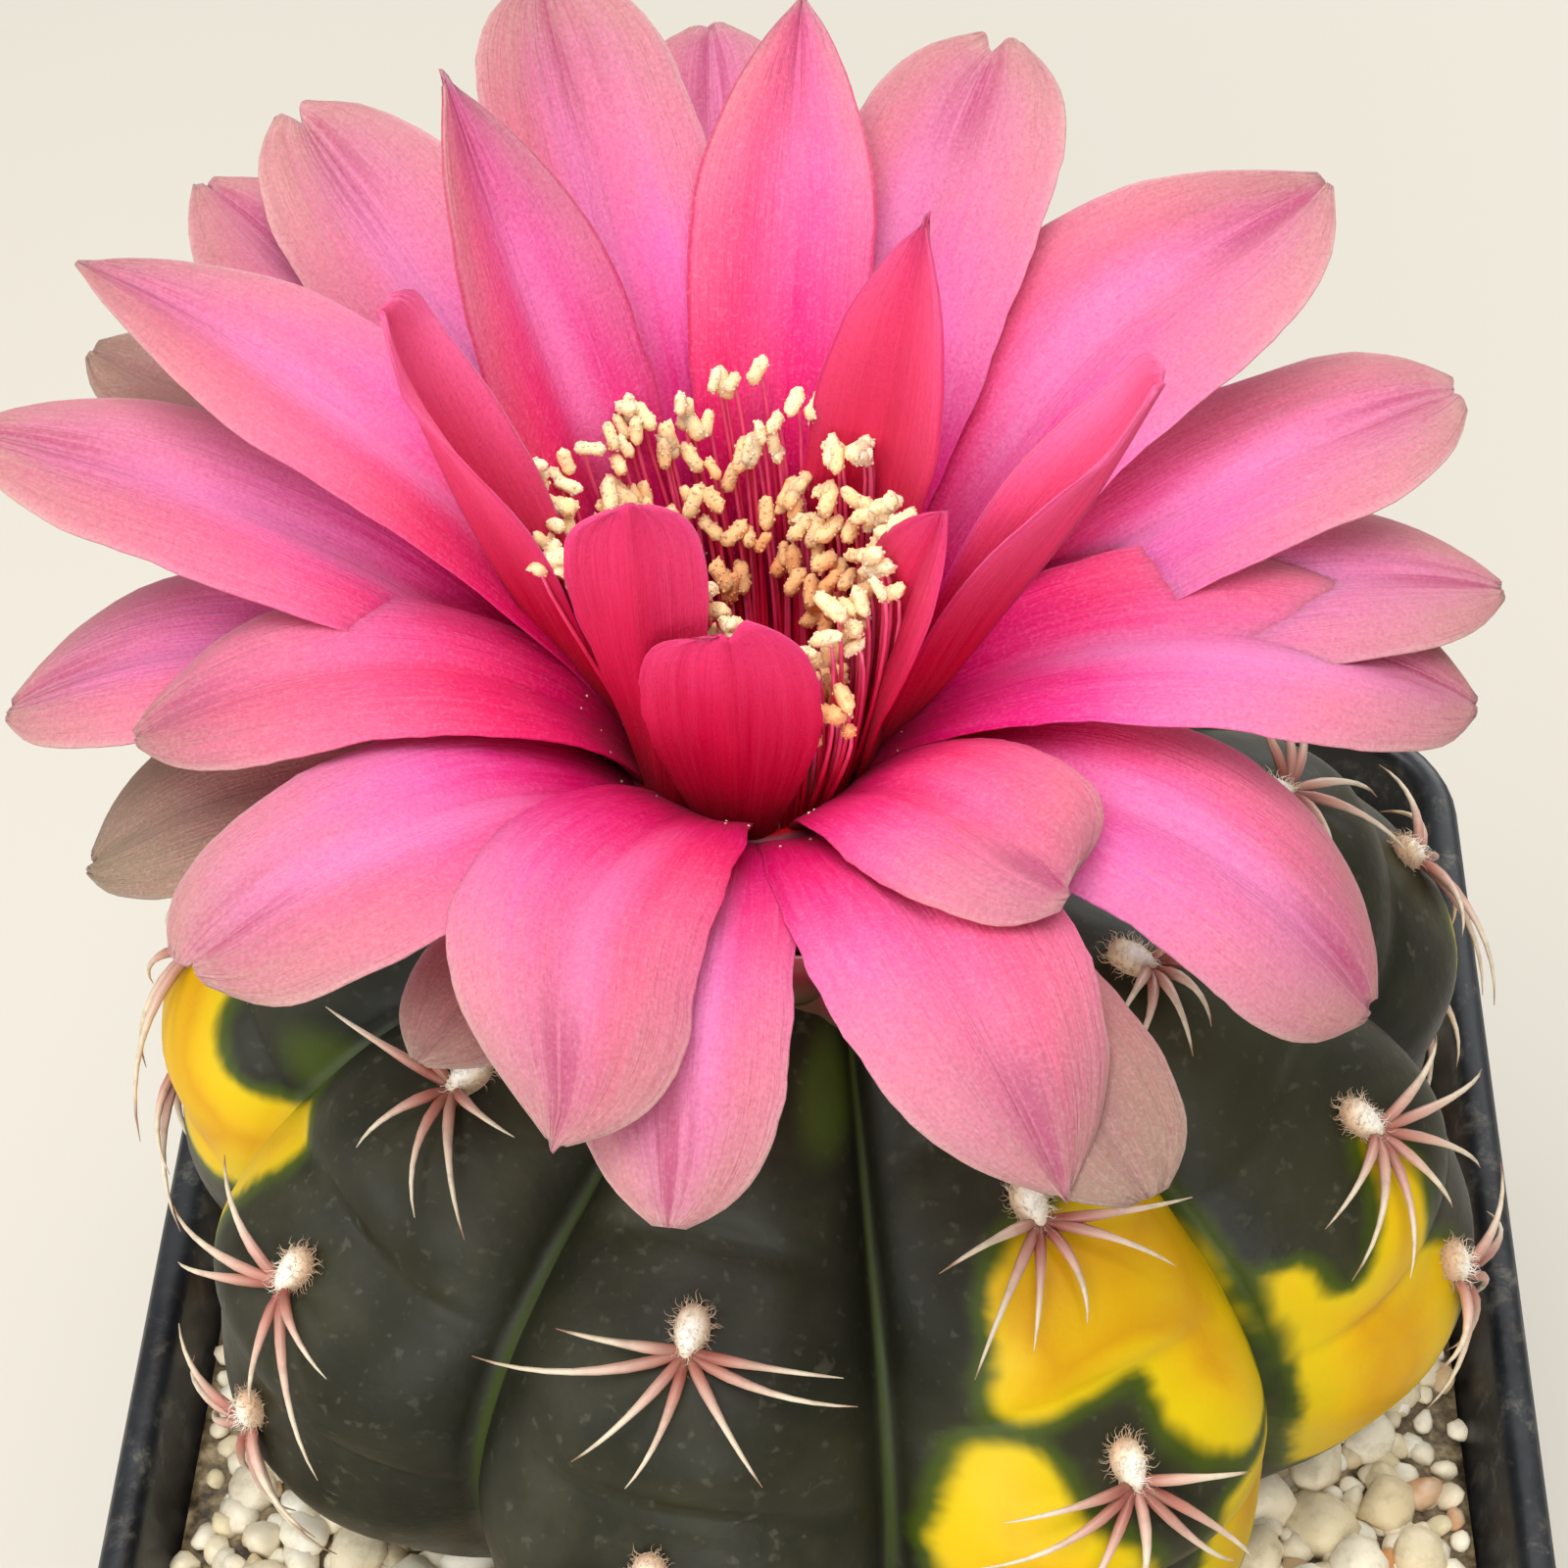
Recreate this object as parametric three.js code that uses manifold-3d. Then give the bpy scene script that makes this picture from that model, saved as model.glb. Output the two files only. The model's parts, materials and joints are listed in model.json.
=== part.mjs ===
// A round chin cactus in flower, growing in a small square nursery pot.
// Millimetres, +Z up. The origin is the middle of the pot's flat underside, and the
// front faces -Y. Azimuths are in degrees from +X, counter-clockwise seen from above.
import * as THREE from "three";
import { mergeVertices } from "three/addons/utils/BufferGeometryUtils.js";
import Module from "manifold-3d";

const wasm = await Module();
wasm.setup();

// ---- driving dimensions, mm and degrees ----
const GAP = 0.3; // clearance between pieces that touch
const POT_TOP = 70; // outside width of the square rim
const POT_BASE = 51; // outside width of the base
const POT_HEIGHT = 65;
const POT_WALL = 1.2;
const POT_FLOOR = 1.6;
const RIM_HEIGHT = 5;
const RIM_WIDTH = 2.3;
const CORNER_TOP = 7; // corner radius of the rim
const CORNER_BASE = 6;
const CORNER_STEPS = 3;
const DRAIN_HOLE = 3.2; // radius of a drain hole
const DRAIN_OFFSET = 13; // from the middle, along X and along Y

const SOIL_TOP = 54.5;
const GRIT_TOP = 60.4; // bed of the grit, below its stones
const STONE_SPACING = 7.6;
const STONE_RADIUS = 2.7;

const BODY_X = -1; // the plant stands a little left of the pot's middle
const BODY_RADIUS = 31.5; // over the rib crests, at the widest
const BODY_MIDDLE = 77.5; // height of the widest part
const BODY_RISE = 18.5; // from the widest part to the top
const BODY_DROP = 22; // from the widest part to the underside
const RIBS = 9;
const FIRST_RIB = -102; // azimuth of the front rib
const GROOVE_DEPTH = 4.2;
const CHIN = 0.9; // swelling under each areole
const ROOT_LENGTH = 17;
const BODY_STEPS_ROUND = 54;
const BODY_STEPS_DOWN = 18;

const TOP_AREOLE = [20, 11, 28, 17, 25, 12, 22, 14, 10]; // angle from the top, one per rib
const AREOLE_STEP = 27; // angle down the rib from one areole to the next
const LOWEST_AREOLE = 100;
const PAD_WIDTH = 1.9;
const PAD_LENGTH = 3.1;
const PAD_HEIGHT = 1.1;
const SPINE_LENGTH = 7.6;
const SPINE_THICK = 0.9;
const SPINE_FAN = [-88, -46, 0, 46, 88]; // directions, from straight down the rib

const TUBE_FOOT = new THREE.Vector3(-0.5, -5.6, 92.5);
const THROAT = new THREE.Vector3(-4, -3.5, 106.5);
const TUBE_TOP = 102.7;
const BLADE = 0.62; // thickness of a petal
const PETAL_ROWS = 5;
const WIDEST = 0.64; // where a petal is widest, from its root to its tip
const ROOT_SHARE = 0.36; // width of a petal's root, as a share of its widest

// Radius and height over the throat at which each layer of petals is rooted.
// The sepal layer is the green-brown one under the coloured petals.
const LAYERS = {
  sepal: { radius: 6.5, lift: -2.6 },
  outer: { radius: 6.1, lift: -1.8 },
  middle: { radius: 5.7, lift: -0.9 },
  upper: { radius: 5.3, lift: 0.0 },
  inner: { radius: 5.0, lift: 0.7 },
};

// Every petal: layer, azimuth, rise at the root and at the tip, length, width.
const PETALS = [
  ["upper", 87, 66, 26, 27, 7.4],
  ["outer", 96, 58, 17, 27.5, 8.4],
  ["middle", 113, 66, 36, 28, 9.0],
  ["upper", 138, 74, 62, 26.5, 7.6],
  ["outer", 137, 56, 26, 28, 9.2],
  ["middle", 146, 54, 8, 28, 9.2],
  ["sepal", 156, 44, 6, 28, 8.0],
  ["upper", 164, 60, 20, 28.5, 9.2],
  ["outer", 174, 56, -7, 28, 9.2],
  ["middle", 188, 58, -46, 28, 9.4],
  ["upper", 184, 60, -56, 23.5, 9.0],
  ["sepal", 195, 40, -42, 23, 8.8],
  ["middle", 227, 55, -22, 24, 10.2],
  ["sepal", 244, 35, 0, 20.5, 7.5],
  ["upper", 257, 58, -24, 24, 10.6],
  ["middle", 266, 54, -30, 24, 8.8],
  ["middle", 296, 58, -40, 25, 11.0],
  ["sepal", 303, 44, -20, 24.5, 8.6],
  ["upper", 306, 58, 4, 19, 9.4],
  ["middle", 335, 56, -60, 26, 10.6],
  ["upper", 359, 58, -38, 26.5, 9.6],
  ["middle", 8, 50, -18, 27, 9.0],
  ["outer", 18, 52, 6, 27.5, 9.0],
  ["middle", 33, 60, 15, 28, 9.8],
  ["outer", 50, 56, 20, 26.5, 8.6],
  ["middle", 66, 64, 25, 27, 9.6],
  ["inner", 50, 74, 82, 20.5, 5.2],
  ["inner", 2, 74, 50, 21.5, 5.6],
  ["inner", 173, 76, 60, 22.5, 5.6],
  ["inner", 229, 84, 92, 17, 6.2],
  ["inner", 267, 80, 88, 12.5, 7.4],
  ["inner", 350, 84, 82, 15, 4.6],
];

const STAMENS_OUTER = 22;
const STAMENS_INNER = 10;
const ANTHER_LENGTH = 1.7;
const ANTHER_RADIUS = 0.62;
const FILAMENT_RADIUS = 0.36;

// ---- small helpers ----
const rad = THREE.MathUtils.degToRad;

// A seeded random draw between 0 and 1.
function draws(seed) {
  let state = seed;
  return () => {
    state = (state * 16807) % 2147483647;
    return state / 2147483647;
  };
}

// A direction from its azimuth and its rise over the horizontal, both in degrees.
function direction(azimuth, rise) {
  const flat = Math.cos(rad(rise));
  return new THREE.Vector3(
    flat * Math.cos(rad(azimuth)), flat * Math.sin(rad(azimuth)), Math.sin(rad(rise)));
}

// Signed volume of a triangle list, positive when the faces point out.
function signedVolume(points, faces) {
  let sum = 0;
  for (const [a, b, c] of faces) {
    sum += points[a].dot(new THREE.Vector3().crossVectors(points[b], points[c])) / 6;
  }
  return sum;
}

// A solid from points and triangles, turned the right way round.
function solidFrom(points, faces) {
  const out = signedVolume(points, faces) > 0;
  const triangles = faces.flatMap(([a, b, c]) => (out ? [a, b, c] : [a, c, b]));
  const vertices = points.flatMap((p) => [p.x, p.y, p.z]);
  return new wasm.Manifold(new wasm.Mesh({
    numProp: 3,
    vertProperties: new Float32Array(vertices),
    triVerts: new Uint32Array(triangles),
  }));
}

// A solid from a three.js geometry whose surface is closed.
function solidOf(geometry) {
  geometry.deleteAttribute("normal");
  geometry.deleteAttribute("uv");
  const merged = mergeVertices(geometry, 1e-4);
  const place = merged.getAttribute("position");
  const points = [];
  for (let i = 0; i < place.count; i += 1) {
    points.push(new THREE.Vector3().fromBufferAttribute(place, i));
  }
  const faces = [];
  const index = merged.index.array;
  for (let i = 0; i < index.length; i += 3) {
    faces.push([index[i], index[i + 1], index[i + 2]]);
  }
  return solidFrom(points, faces);
}

// A solid skinned over a row of closed rings, each with as many points as the others.
// It is closed by a point in the middle of its first and last ring, or on itself.
function loft(rings, onItself = false) {
  const count = rings[0].length;
  const points = rings.flat();
  const faces = [];
  const bands = onItself ? rings.length : rings.length - 1;
  for (let i = 0; i < bands; i += 1) {
    const low = i * count;
    const high = ((i + 1) % rings.length) * count;
    for (let j = 0; j < count; j += 1) {
      const next = (j + 1) % count;
      faces.push([low + j, low + next, high + next], [low + j, high + next, high + j]);
    }
  }
  if (!onItself) {
    closeEnd(points, faces, rings[0], 0, false);
    closeEnd(points, faces, rings.at(-1), (rings.length - 1) * count, true);
  }
  return solidFrom(points, faces);
}

// Triangles over one end ring of a loft: one for a three-sided ring, else a fan.
function closeEnd(points, faces, ring, first, last) {
  if (ring.length === 3) {
    faces.push(last ? [first, first + 1, first + 2] : [first, first + 2, first + 1]);
    return;
  }
  const middle = ring.reduce((sum, p) => sum.add(p), new THREE.Vector3());
  points.push(middle.divideScalar(ring.length));
  const centre = points.length - 1;
  for (let j = 0; j < ring.length; j += 1) {
    const next = (j + 1) % ring.length;
    faces.push(last ? [centre, first + j, first + next] : [centre, first + next, first + j]);
  }
}

// A ring of points round a centre, in a horizontal plane.
function circle(x, y, z, radius, steps, start = 0) {
  return Array.from({ length: steps }, (_, i) => {
    const turn = start + (2 * Math.PI * i) / steps;
    return new THREE.Vector3(x + radius * Math.cos(turn), y + radius * Math.sin(turn), z);
  });
}

// A square ring with round corners, in a horizontal plane.
function roundedSquare(width, corner, z) {
  const ring = [];
  const arm = width / 2 - corner;
  for (let side = 0; side < 4; side += 1) {
    const mid = Math.PI / 4 + (side * Math.PI) / 2;
    const cx = Math.sign(Math.cos(mid)) * arm;
    const cy = Math.sign(Math.sin(mid)) * arm;
    for (let i = 0; i <= CORNER_STEPS; i += 1) {
      const turn = (side + i / CORNER_STEPS) * (Math.PI / 2);
      ring.push(new THREE.Vector3(cx + corner * Math.cos(turn), cy + corner * Math.sin(turn), z));
    }
  }
  return ring;
}

// The largest body of a solid, without the loose scraps and sealed hollows of a join.
function largestBody(solid) {
  const mesh = solid.getMesh();
  const owner = Array.from({ length: mesh.numVert }, (_, i) => i);
  const find = (i) => {
    let at = i;
    while (owner[at] !== at) {
      owner[at] = owner[owner[at]];
      at = owner[at];
    }
    return at;
  };
  const tri = mesh.triVerts;
  for (let i = 0; i < tri.length; i += 3) {
    owner[find(tri[i])] = find(tri[i + 1]);
    owner[find(tri[i + 1])] = find(tri[i + 2]);
  }
  const at = mesh.vertProperties;
  const points = [];
  for (let i = 0; i < mesh.numVert; i += 1) {
    points.push(new THREE.Vector3(at[3 * i], at[3 * i + 1], at[3 * i + 2]));
  }
  const bodies = new Map();
  for (let i = 0; i < tri.length; i += 3) {
    const key = find(tri[i]);
    if (!bodies.has(key)) bodies.set(key, []);
    bodies.get(key).push([tri[i], tri[i + 1], tri[i + 2]]);
  }
  const sized = [...bodies.values()].map((faces) => ({ faces, volume: signedVolume(points, faces) }));
  sized.sort((a, b) => b.volume - a.volume);
  const kept = sized[0].faces;
  const used = [...new Set(kept.flat())];
  const number = new Map(used.map((old, i) => [old, i]));
  return solidFrom(used.map((old) => points[old]), kept.map((f) => f.map((v) => number.get(v))));
}

// ---- the pot and what fills it ----

// Outside width of the pot's wall at a height.
function potWidth(z) {
  const top = POT_TOP - 2 * (RIM_WIDTH - POT_WALL);
  return THREE.MathUtils.lerp(POT_BASE, top, z / POT_HEIGHT);
}

function potCorner(z) {
  return THREE.MathUtils.lerp(CORNER_BASE, CORNER_TOP - 1, z / POT_HEIGHT);
}

// A ring that follows the inside of the wall, some way in from it.
function insideRing(z, clear) {
  const inset = POT_WALL + clear;
  return roundedSquare(potWidth(z) - 2 * inset, potCorner(z) - inset, z);
}

// A tapered wall with a rolled rim, and a floor with drain holes.
function makePot() {
  const rimFoot = POT_HEIGHT - RIM_HEIGHT;
  const shell = loft([
    roundedSquare(POT_BASE, CORNER_BASE, 0),
    roundedSquare(potWidth(rimFoot), potCorner(rimFoot), rimFoot),
    roundedSquare(POT_TOP - 0.6, CORNER_TOP, rimFoot),
    roundedSquare(POT_TOP, CORNER_TOP, rimFoot + 1),
    roundedSquare(POT_TOP, CORNER_TOP, POT_HEIGHT - 0.7),
    roundedSquare(POT_TOP - 0.8, CORNER_TOP - 0.4, POT_HEIGHT),
    insideRing(POT_HEIGHT, 0),
    insideRing(POT_FLOOR, 0),
  ]);
  const spots = [[1, 1], [-1, 1], [-1, -1], [1, -1]];
  return spots.reduce((pot, [sx, sy]) => {
    const hole = loft([
      circle(sx * DRAIN_OFFSET, sy * DRAIN_OFFSET, -1, DRAIN_HOLE, 12),
      circle(sx * DRAIN_OFFSET, sy * DRAIN_OFFSET, POT_FLOOR + 1, DRAIN_HOLE, 12),
    ]);
    return pot.subtract(hole);
  }, shell);
}

// The soil up to the grit, with a hole for the root.
function makeSoil(rootHole) {
  const block = loft([insideRing(POT_FLOOR + GAP, GAP), insideRing(SOIL_TOP, GAP)]);
  return largestBody(block.subtract(rootHole));
}

// Stones on a jittered grid, between the plant and the wall, sunk in their bed.
function makeGrit(rootHole) {
  const draw = draws(11);
  const bed = loft([insideRing(SOIL_TOP + GAP, GAP), insideRing(GRIT_TOP, GAP)]);
  const reach = potWidth(GRIT_TOP) / 2 - POT_WALL - STONE_RADIUS * 1.3 - GAP;
  const half = Math.floor(reach / STONE_SPACING + 0.4);
  const stones = [];
  for (let i = -half; i <= half; i += 1) {
    for (let j = -half; j <= half; j += 1) {
      const x = THREE.MathUtils.clamp((i + 0.5 * (draw() - 0.5)) * STONE_SPACING, -reach, reach);
      const y = THREE.MathUtils.clamp((j + 0.5 * (draw() - 0.5)) * STONE_SPACING, -reach, reach);
      const size = STONE_RADIUS * (0.8 + 0.5 * draw());
      const stone = new THREE.IcosahedronGeometry(size, 0);
      stone.scale(1, 0.82, 0.72);
      stone.rotateX(0.5 * (draw() - 0.5));
      stone.rotateZ(2 * Math.PI * draw());
      stone.translate(x, y, GRIT_TOP + 0.2 * size);
      const clearOfRoot = Math.hypot(x - BODY_X, y) > bodyRadius(GRIT_TOP + 5) + size + GAP;
      if (clearOfRoot) stones.push(solidOf(stone));
    }
  }
  const filled = stones.reduce((all, stone) => all.add(stone), bed);
  return largestBody(filled.subtract(rootHole));
}

// ---- the cactus body ----

// Crest radius and height at an angle from the top: a globe, flatter above than below.
function bodyProfile(angle) {
  const turn = rad(angle);
  const low = angle > 90;
  const radius = BODY_RADIUS * Math.sin(turn) ** (low ? 0.8 : 1);
  return { radius, z: BODY_MIDDLE + (low ? BODY_DROP : BODY_RISE) * Math.cos(turn) };
}

// Crest radius of the lower body at a height.
function bodyRadius(z) {
  const angle = THREE.MathUtils.radToDeg(Math.acos((z - BODY_MIDDLE) / BODY_DROP));
  return bodyProfile(angle).radius;
}

// Angles from the top of the areoles down one rib.
function areoleAngles(rib) {
  const angles = [];
  for (let a = TOP_AREOLE[rib]; a < LOWEST_AREOLE; a += AREOLE_STEP) angles.push(a);
  return angles;
}

const bell = (x) => Math.exp(-x * x);

// A point of the ribbed surface, by its azimuth and its angle from the top.
function bodyPoint(azimuth, angle, grow = 0) {
  const { radius, z } = bodyProfile(angle);
  const turns = (azimuth - FIRST_RIB) / (360 / RIBS);
  const rib = ((Math.round(turns) % RIBS) + RIBS) % RIBS;
  const across = 2 * (turns - Math.round(turns)); // -1 and 1 in the grooves, 0 on the crest
  const depth = GROOVE_DEPTH * Math.sin(rad(Math.min(angle, 150))) ** 1.2;
  let out = -depth * Math.abs(across) ** 2.6;
  for (const spot of areoleAngles(rib)) {
    const share = (1 - across * across) * Math.sin(rad(angle)) ** 0.6;
    out += CHIN * share * (bell((angle - spot - 10) / 8) - 0.5 * bell((angle - spot + 7) / 6));
  }
  // Near the top the ribs stand up more than out.
  const steep = angle < 90 ? Math.cos(rad(angle)) * Math.min(1, 40 / angle) : 0;
  const lift = out * steep;
  const flat = Math.max(radius + out + grow, 0.4);
  const rise = grow * Math.cos(rad(angle));
  return new THREE.Vector3(
    BODY_X + flat * Math.cos(rad(azimuth)), flat * Math.sin(rad(azimuth)), z + lift + rise);
}

// The body with its tap root below, or the same grown all round for cutting a hole.
function makeBody(grow = 0) {
  const rings = [];
  for (let i = 0; i < BODY_STEPS_DOWN; i += 1) {
    const angle = THREE.MathUtils.lerp(5, 162, i / (BODY_STEPS_DOWN - 1));
    rings.push(Array.from({ length: BODY_STEPS_ROUND }, (_, j) => {
      return bodyPoint(FIRST_RIB + (360 * j) / BODY_STEPS_ROUND, angle, grow);
    }));
  }
  const underside = BODY_MIDDLE - BODY_DROP;
  rings.push(circle(BODY_X, 0, underside, 6 + grow, BODY_STEPS_ROUND, rad(FIRST_RIB)));
  rings.push(circle(BODY_X, 0, underside - 4, 4.5 + grow, BODY_STEPS_ROUND, rad(FIRST_RIB)));
  const tip = underside - ROOT_LENGTH - grow;
  rings.push(circle(BODY_X, 0, tip, 1.2 + grow, BODY_STEPS_ROUND, rad(FIRST_RIB)));
  return loft(rings);
}

// ---- areoles: a pad of wool with its fan of spines ----

// A point over the body's crests, followed by the outward normal there.
function overBody(azimuth, angle, rise) {
  const { radius, z } = bodyProfile(angle);
  const out = direction(azimuth, 0);
  const tall = angle > 90 ? BODY_DROP : BODY_RISE;
  const normal = out.clone().multiplyScalar(Math.sin(rad(angle)) / BODY_RADIUS);
  normal.z = Math.cos(rad(angle)) / tall;
  normal.normalize();
  const at = new THREE.Vector3(BODY_X, 0, z).addScaledVector(out, radius);
  return { at: at.addScaledVector(normal, rise), normal };
}

// A three-sided spine that follows the body's curve in its own direction of the fan.
function makeSpine(azimuth, angle, fan, length) {
  const stations = [[0.07, 0.9, 0.8], [0.5, 2, 0.72], [1, 1.6, 0.1]]; // along, rise, thickness
  const places = stations.map(([along, rise]) => {
    const down = along * length * Math.cos(rad(fan)) + 0.1 * PAD_LENGTH;
    const aside = along * length * Math.sin(rad(fan));
    const lower = angle + THREE.MathUtils.radToDeg(down / meridianRadius(angle));
    const turned = azimuth + THREE.MathUtils.radToDeg(aside / bodyProfile(angle).radius);
    return overBody(turned, lower, rise);
  });
  return loft(places.map(({ at, normal }, i) => {
    const from = places[Math.max(i - 1, 0)].at;
    const to = places[Math.min(i + 1, places.length - 1)].at;
    const across = new THREE.Vector3().crossVectors(normal, to.clone().sub(from)).normalize();
    const half = (stations[i][2] * SPINE_THICK) / 2;
    return [90, 210, 330].map((turn) => at.clone()
      .addScaledVector(normal, Math.sin(rad(turn)) * half)
      .addScaledVector(across, Math.cos(rad(turn)) * half));
  }));
}

// How far a step down the rib goes, in mm for each radian of angle from the top.
function meridianRadius(angle) {
  const tall = angle > 90 ? BODY_DROP : BODY_RISE;
  return Math.hypot(BODY_RADIUS * Math.cos(rad(angle)), tall * Math.sin(rad(angle)));
}

// A low dome of wool that stands just clear of the rib.
function makePad(azimuth, angle) {
  const rows = [[1, GAP], [0.55, PAD_HEIGHT + GAP]]; // share of its width, rise
  return loft(rows.map(([share, rise]) => Array.from({ length: 6 }, (_, i) => {
    const aside = (share * PAD_WIDTH * Math.cos(rad(60 * i))) / 2;
    const down = (share * PAD_LENGTH * Math.sin(rad(60 * i))) / 2;
    const turned = azimuth + THREE.MathUtils.radToDeg(aside / bodyProfile(angle).radius);
    const lower = angle + THREE.MathUtils.radToDeg(down / meridianRadius(angle));
    return bodyPoint(turned, lower).addScaledVector(overBody(turned, lower, 0).normal, rise);
  })));
}

// A pad with its spines. Those near the top are young and shorter.
function makeAreole(azimuth, angle) {
  const size = THREE.MathUtils.clamp(angle / 45, 0.55, 1);
  const draw = draws(Math.round(7 * azimuth + 13 * angle) + 5000);
  const spines = SPINE_FAN.map((fan) => {
    const length = SPINE_LENGTH * size * (0.88 + 0.24 * draw());
    return makeSpine(azimuth, angle, fan + 8 * (draw() - 0.5), length);
  });
  return largestBody(spines.reduce((all, spine) => all.add(spine), makePad(azimuth, angle)));
}

// ---- the flower ----

// Middle of the flower's tube at a height: it leans from its foot to the throat.
function tubeMiddle(z) {
  const share = THREE.MathUtils.smoothstep(z, TUBE_FOOT.z, TUBE_TOP);
  return new THREE.Vector3().lerpVectors(TUBE_FOOT, THROAT, share);
}

// A ring round the leaning tube.
function tubeRing(z, radius) {
  const middle = tubeMiddle(z);
  return circle(middle.x, middle.y, z, radius, 16);
}

// A broad round scale that hugs the tube.
function makeScale(azimuth, z, width, height) {
  const rings = [];
  const stations = [[0, 0.72, 0.5], [0.6, 1, 1.2], [1, 0.3, 1.3]]; // along, width, out
  for (const [along, wide, out] of stations) {
    const level = z + along * height;
    const middle = tubeMiddle(level);
    const radius = tubeRadius(level) + out * 0.45;
    const spread = ((wide * width) / 2 / radius) * (180 / Math.PI);
    const corner = (turn, depth) => {
      const d = direction(azimuth + turn * spread, 0);
      return new THREE.Vector3(middle.x, middle.y, level).addScaledVector(d, radius + depth);
    };
    rings.push([corner(-1, 0), corner(0, 0.3), corner(1, 0), corner(0, -0.7)]);
  }
  return loft(rings);
}

// Outside radius of the tube, which flares to its mouth.
function tubeRadius(z) {
  const share = THREE.MathUtils.clamp((z - 94) / (TUBE_TOP - 94), 0, 1);
  return 4.4 + 1.9 * share ** 1.6;
}

// The tube: a cup below the petals, with scales in rising rows on its outside.
function makeTube(bodyWithGap) {
  const outside = [91.5, 94.5, 97.5, 100.2, TUBE_TOP].map((z) => tubeRing(z, tubeRadius(z)));
  const inside = [[TUBE_TOP, 5.0], [100.6, 4.4], [98.6, 2.4]];
  const wall = loft([...outside, ...inside.map(([z, radius]) => tubeRing(z, radius))]);
  let all = wall;
  for (let row = 0; row < 2; row += 1) {
    for (let i = 0; i < 5; i += 1) {
      const azimuth = -80 + 72 * i + 36 * row;
      all = all.add(makeScale(azimuth, 95.4 + 3.2 * row, 5.8 + 0.6 * row, 4));
    }
  }
  const cap = loft([tubeRing(TUBE_TOP, 12), tubeRing(TUBE_TOP + 6, 12)]);
  return largestBody(all.subtract(cap).subtract(bodyWithGap));
}

// Half width of a petal at a share of its length: oblong, broadest past the middle.
function petalShape(share) {
  if (share < WIDEST) {
    return ROOT_SHARE + (1 - ROOT_SHARE) * Math.sin(((Math.PI / 2) * share) / WIDEST) ** 1.25;
  }
  const beyond = (share - WIDEST) / (1 - WIDEST);
  return Math.max((1 - beyond ** 2.4) ** 0.6, 0.09);
}

// A petal: a thin blade with a shallow crease, curving from its root's rise to its tip's.
function makePetal([layer, azimuth, rootRise, tipRise, length, width]) {
  const { radius, lift } = LAYERS[layer];
  const side = new THREE.Vector3(-Math.sin(rad(azimuth)), Math.cos(rad(azimuth)), 0);
  const middle = THROAT.clone().addScaledVector(direction(azimuth, 0), radius);
  middle.z += lift;
  middle.addScaledVector(direction(azimuth, rootRise), -0.7);
  const faces = { top: [], under: [] };
  const steps = 4 * PETAL_ROWS;
  for (let i = 0; i <= steps; i += 1) {
    const share = i / steps;
    const along = direction(azimuth, THREE.MathUtils.lerp(rootRise, tipRise, share));
    const normal = new THREE.Vector3().crossVectors(along, side);
    if (i % 4 === 0) {
      const half = (petalShape(share) * width) / 2;
      for (const [face, level] of [["top", 0.5], ["under", -0.5]]) {
        faces[face].push([-1, 0, 1].map((across) => middle.clone()
          .addScaledVector(side, across * half)
          .addScaledVector(normal, level * BLADE + 0.2 * half * across * across)));
      }
    }
    middle.addScaledVector(along, (length + 0.7) / steps);
  }
  return blade(faces.top, faces.under);
}

// A closed blade between two grids of points, split into triangles alike on both faces.
function blade(top, under) {
  const rows = top.length;
  const across = top[0].length;
  const points = [...top.flat(), ...under.flat()];
  const up = (i, j) => i * across + j;
  const low = (i, j) => rows * across + i * across + j;
  const faces = [];
  for (let i = 0; i < rows - 1; i += 1) {
    for (let j = 0; j < across - 1; j += 1) {
      faces.push([up(i, j), up(i + 1, j), up(i + 1, j + 1)], [up(i, j), up(i + 1, j + 1), up(i, j + 1)]);
      faces.push([low(i, j), low(i + 1, j + 1), low(i + 1, j)]);
      faces.push([low(i, j), low(i, j + 1), low(i + 1, j + 1)]);
    }
    const far = across - 1;
    faces.push([up(i, 0), low(i, 0), low(i + 1, 0)], [up(i, 0), low(i + 1, 0), up(i + 1, 0)]);
    faces.push([up(i, far), low(i + 1, far), low(i, far)], [up(i, far), up(i + 1, far), low(i + 1, far)]);
  }
  const end = rows - 1;
  for (let j = 0; j < across - 1; j += 1) {
    faces.push([up(0, j), up(0, j + 1), low(0, j + 1)], [up(0, j), low(0, j + 1), low(0, j)]);
    faces.push([up(end, j), low(end, j + 1), up(end, j + 1)], [up(end, j), low(end, j), low(end, j + 1)]);
  }
  return solidFrom(points, faces);
}

// All petals, rooted in the ring at the mouth of the tube.
function makePetals() {
  const profile = [[6.6, -3.3], [6.4, -1.4], [5.6, 0.4], [4.8, 0.9], [4.6, -3.3]];
  const ring = loft(profile.map(([radius, lift]) => {
    return circle(THROAT.x, THROAT.y, THROAT.z + lift, radius, 24);
  }), true);
  return largestBody(PETALS.map(makePetal).reduce((all, petal) => all.add(petal), ring));
}

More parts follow.
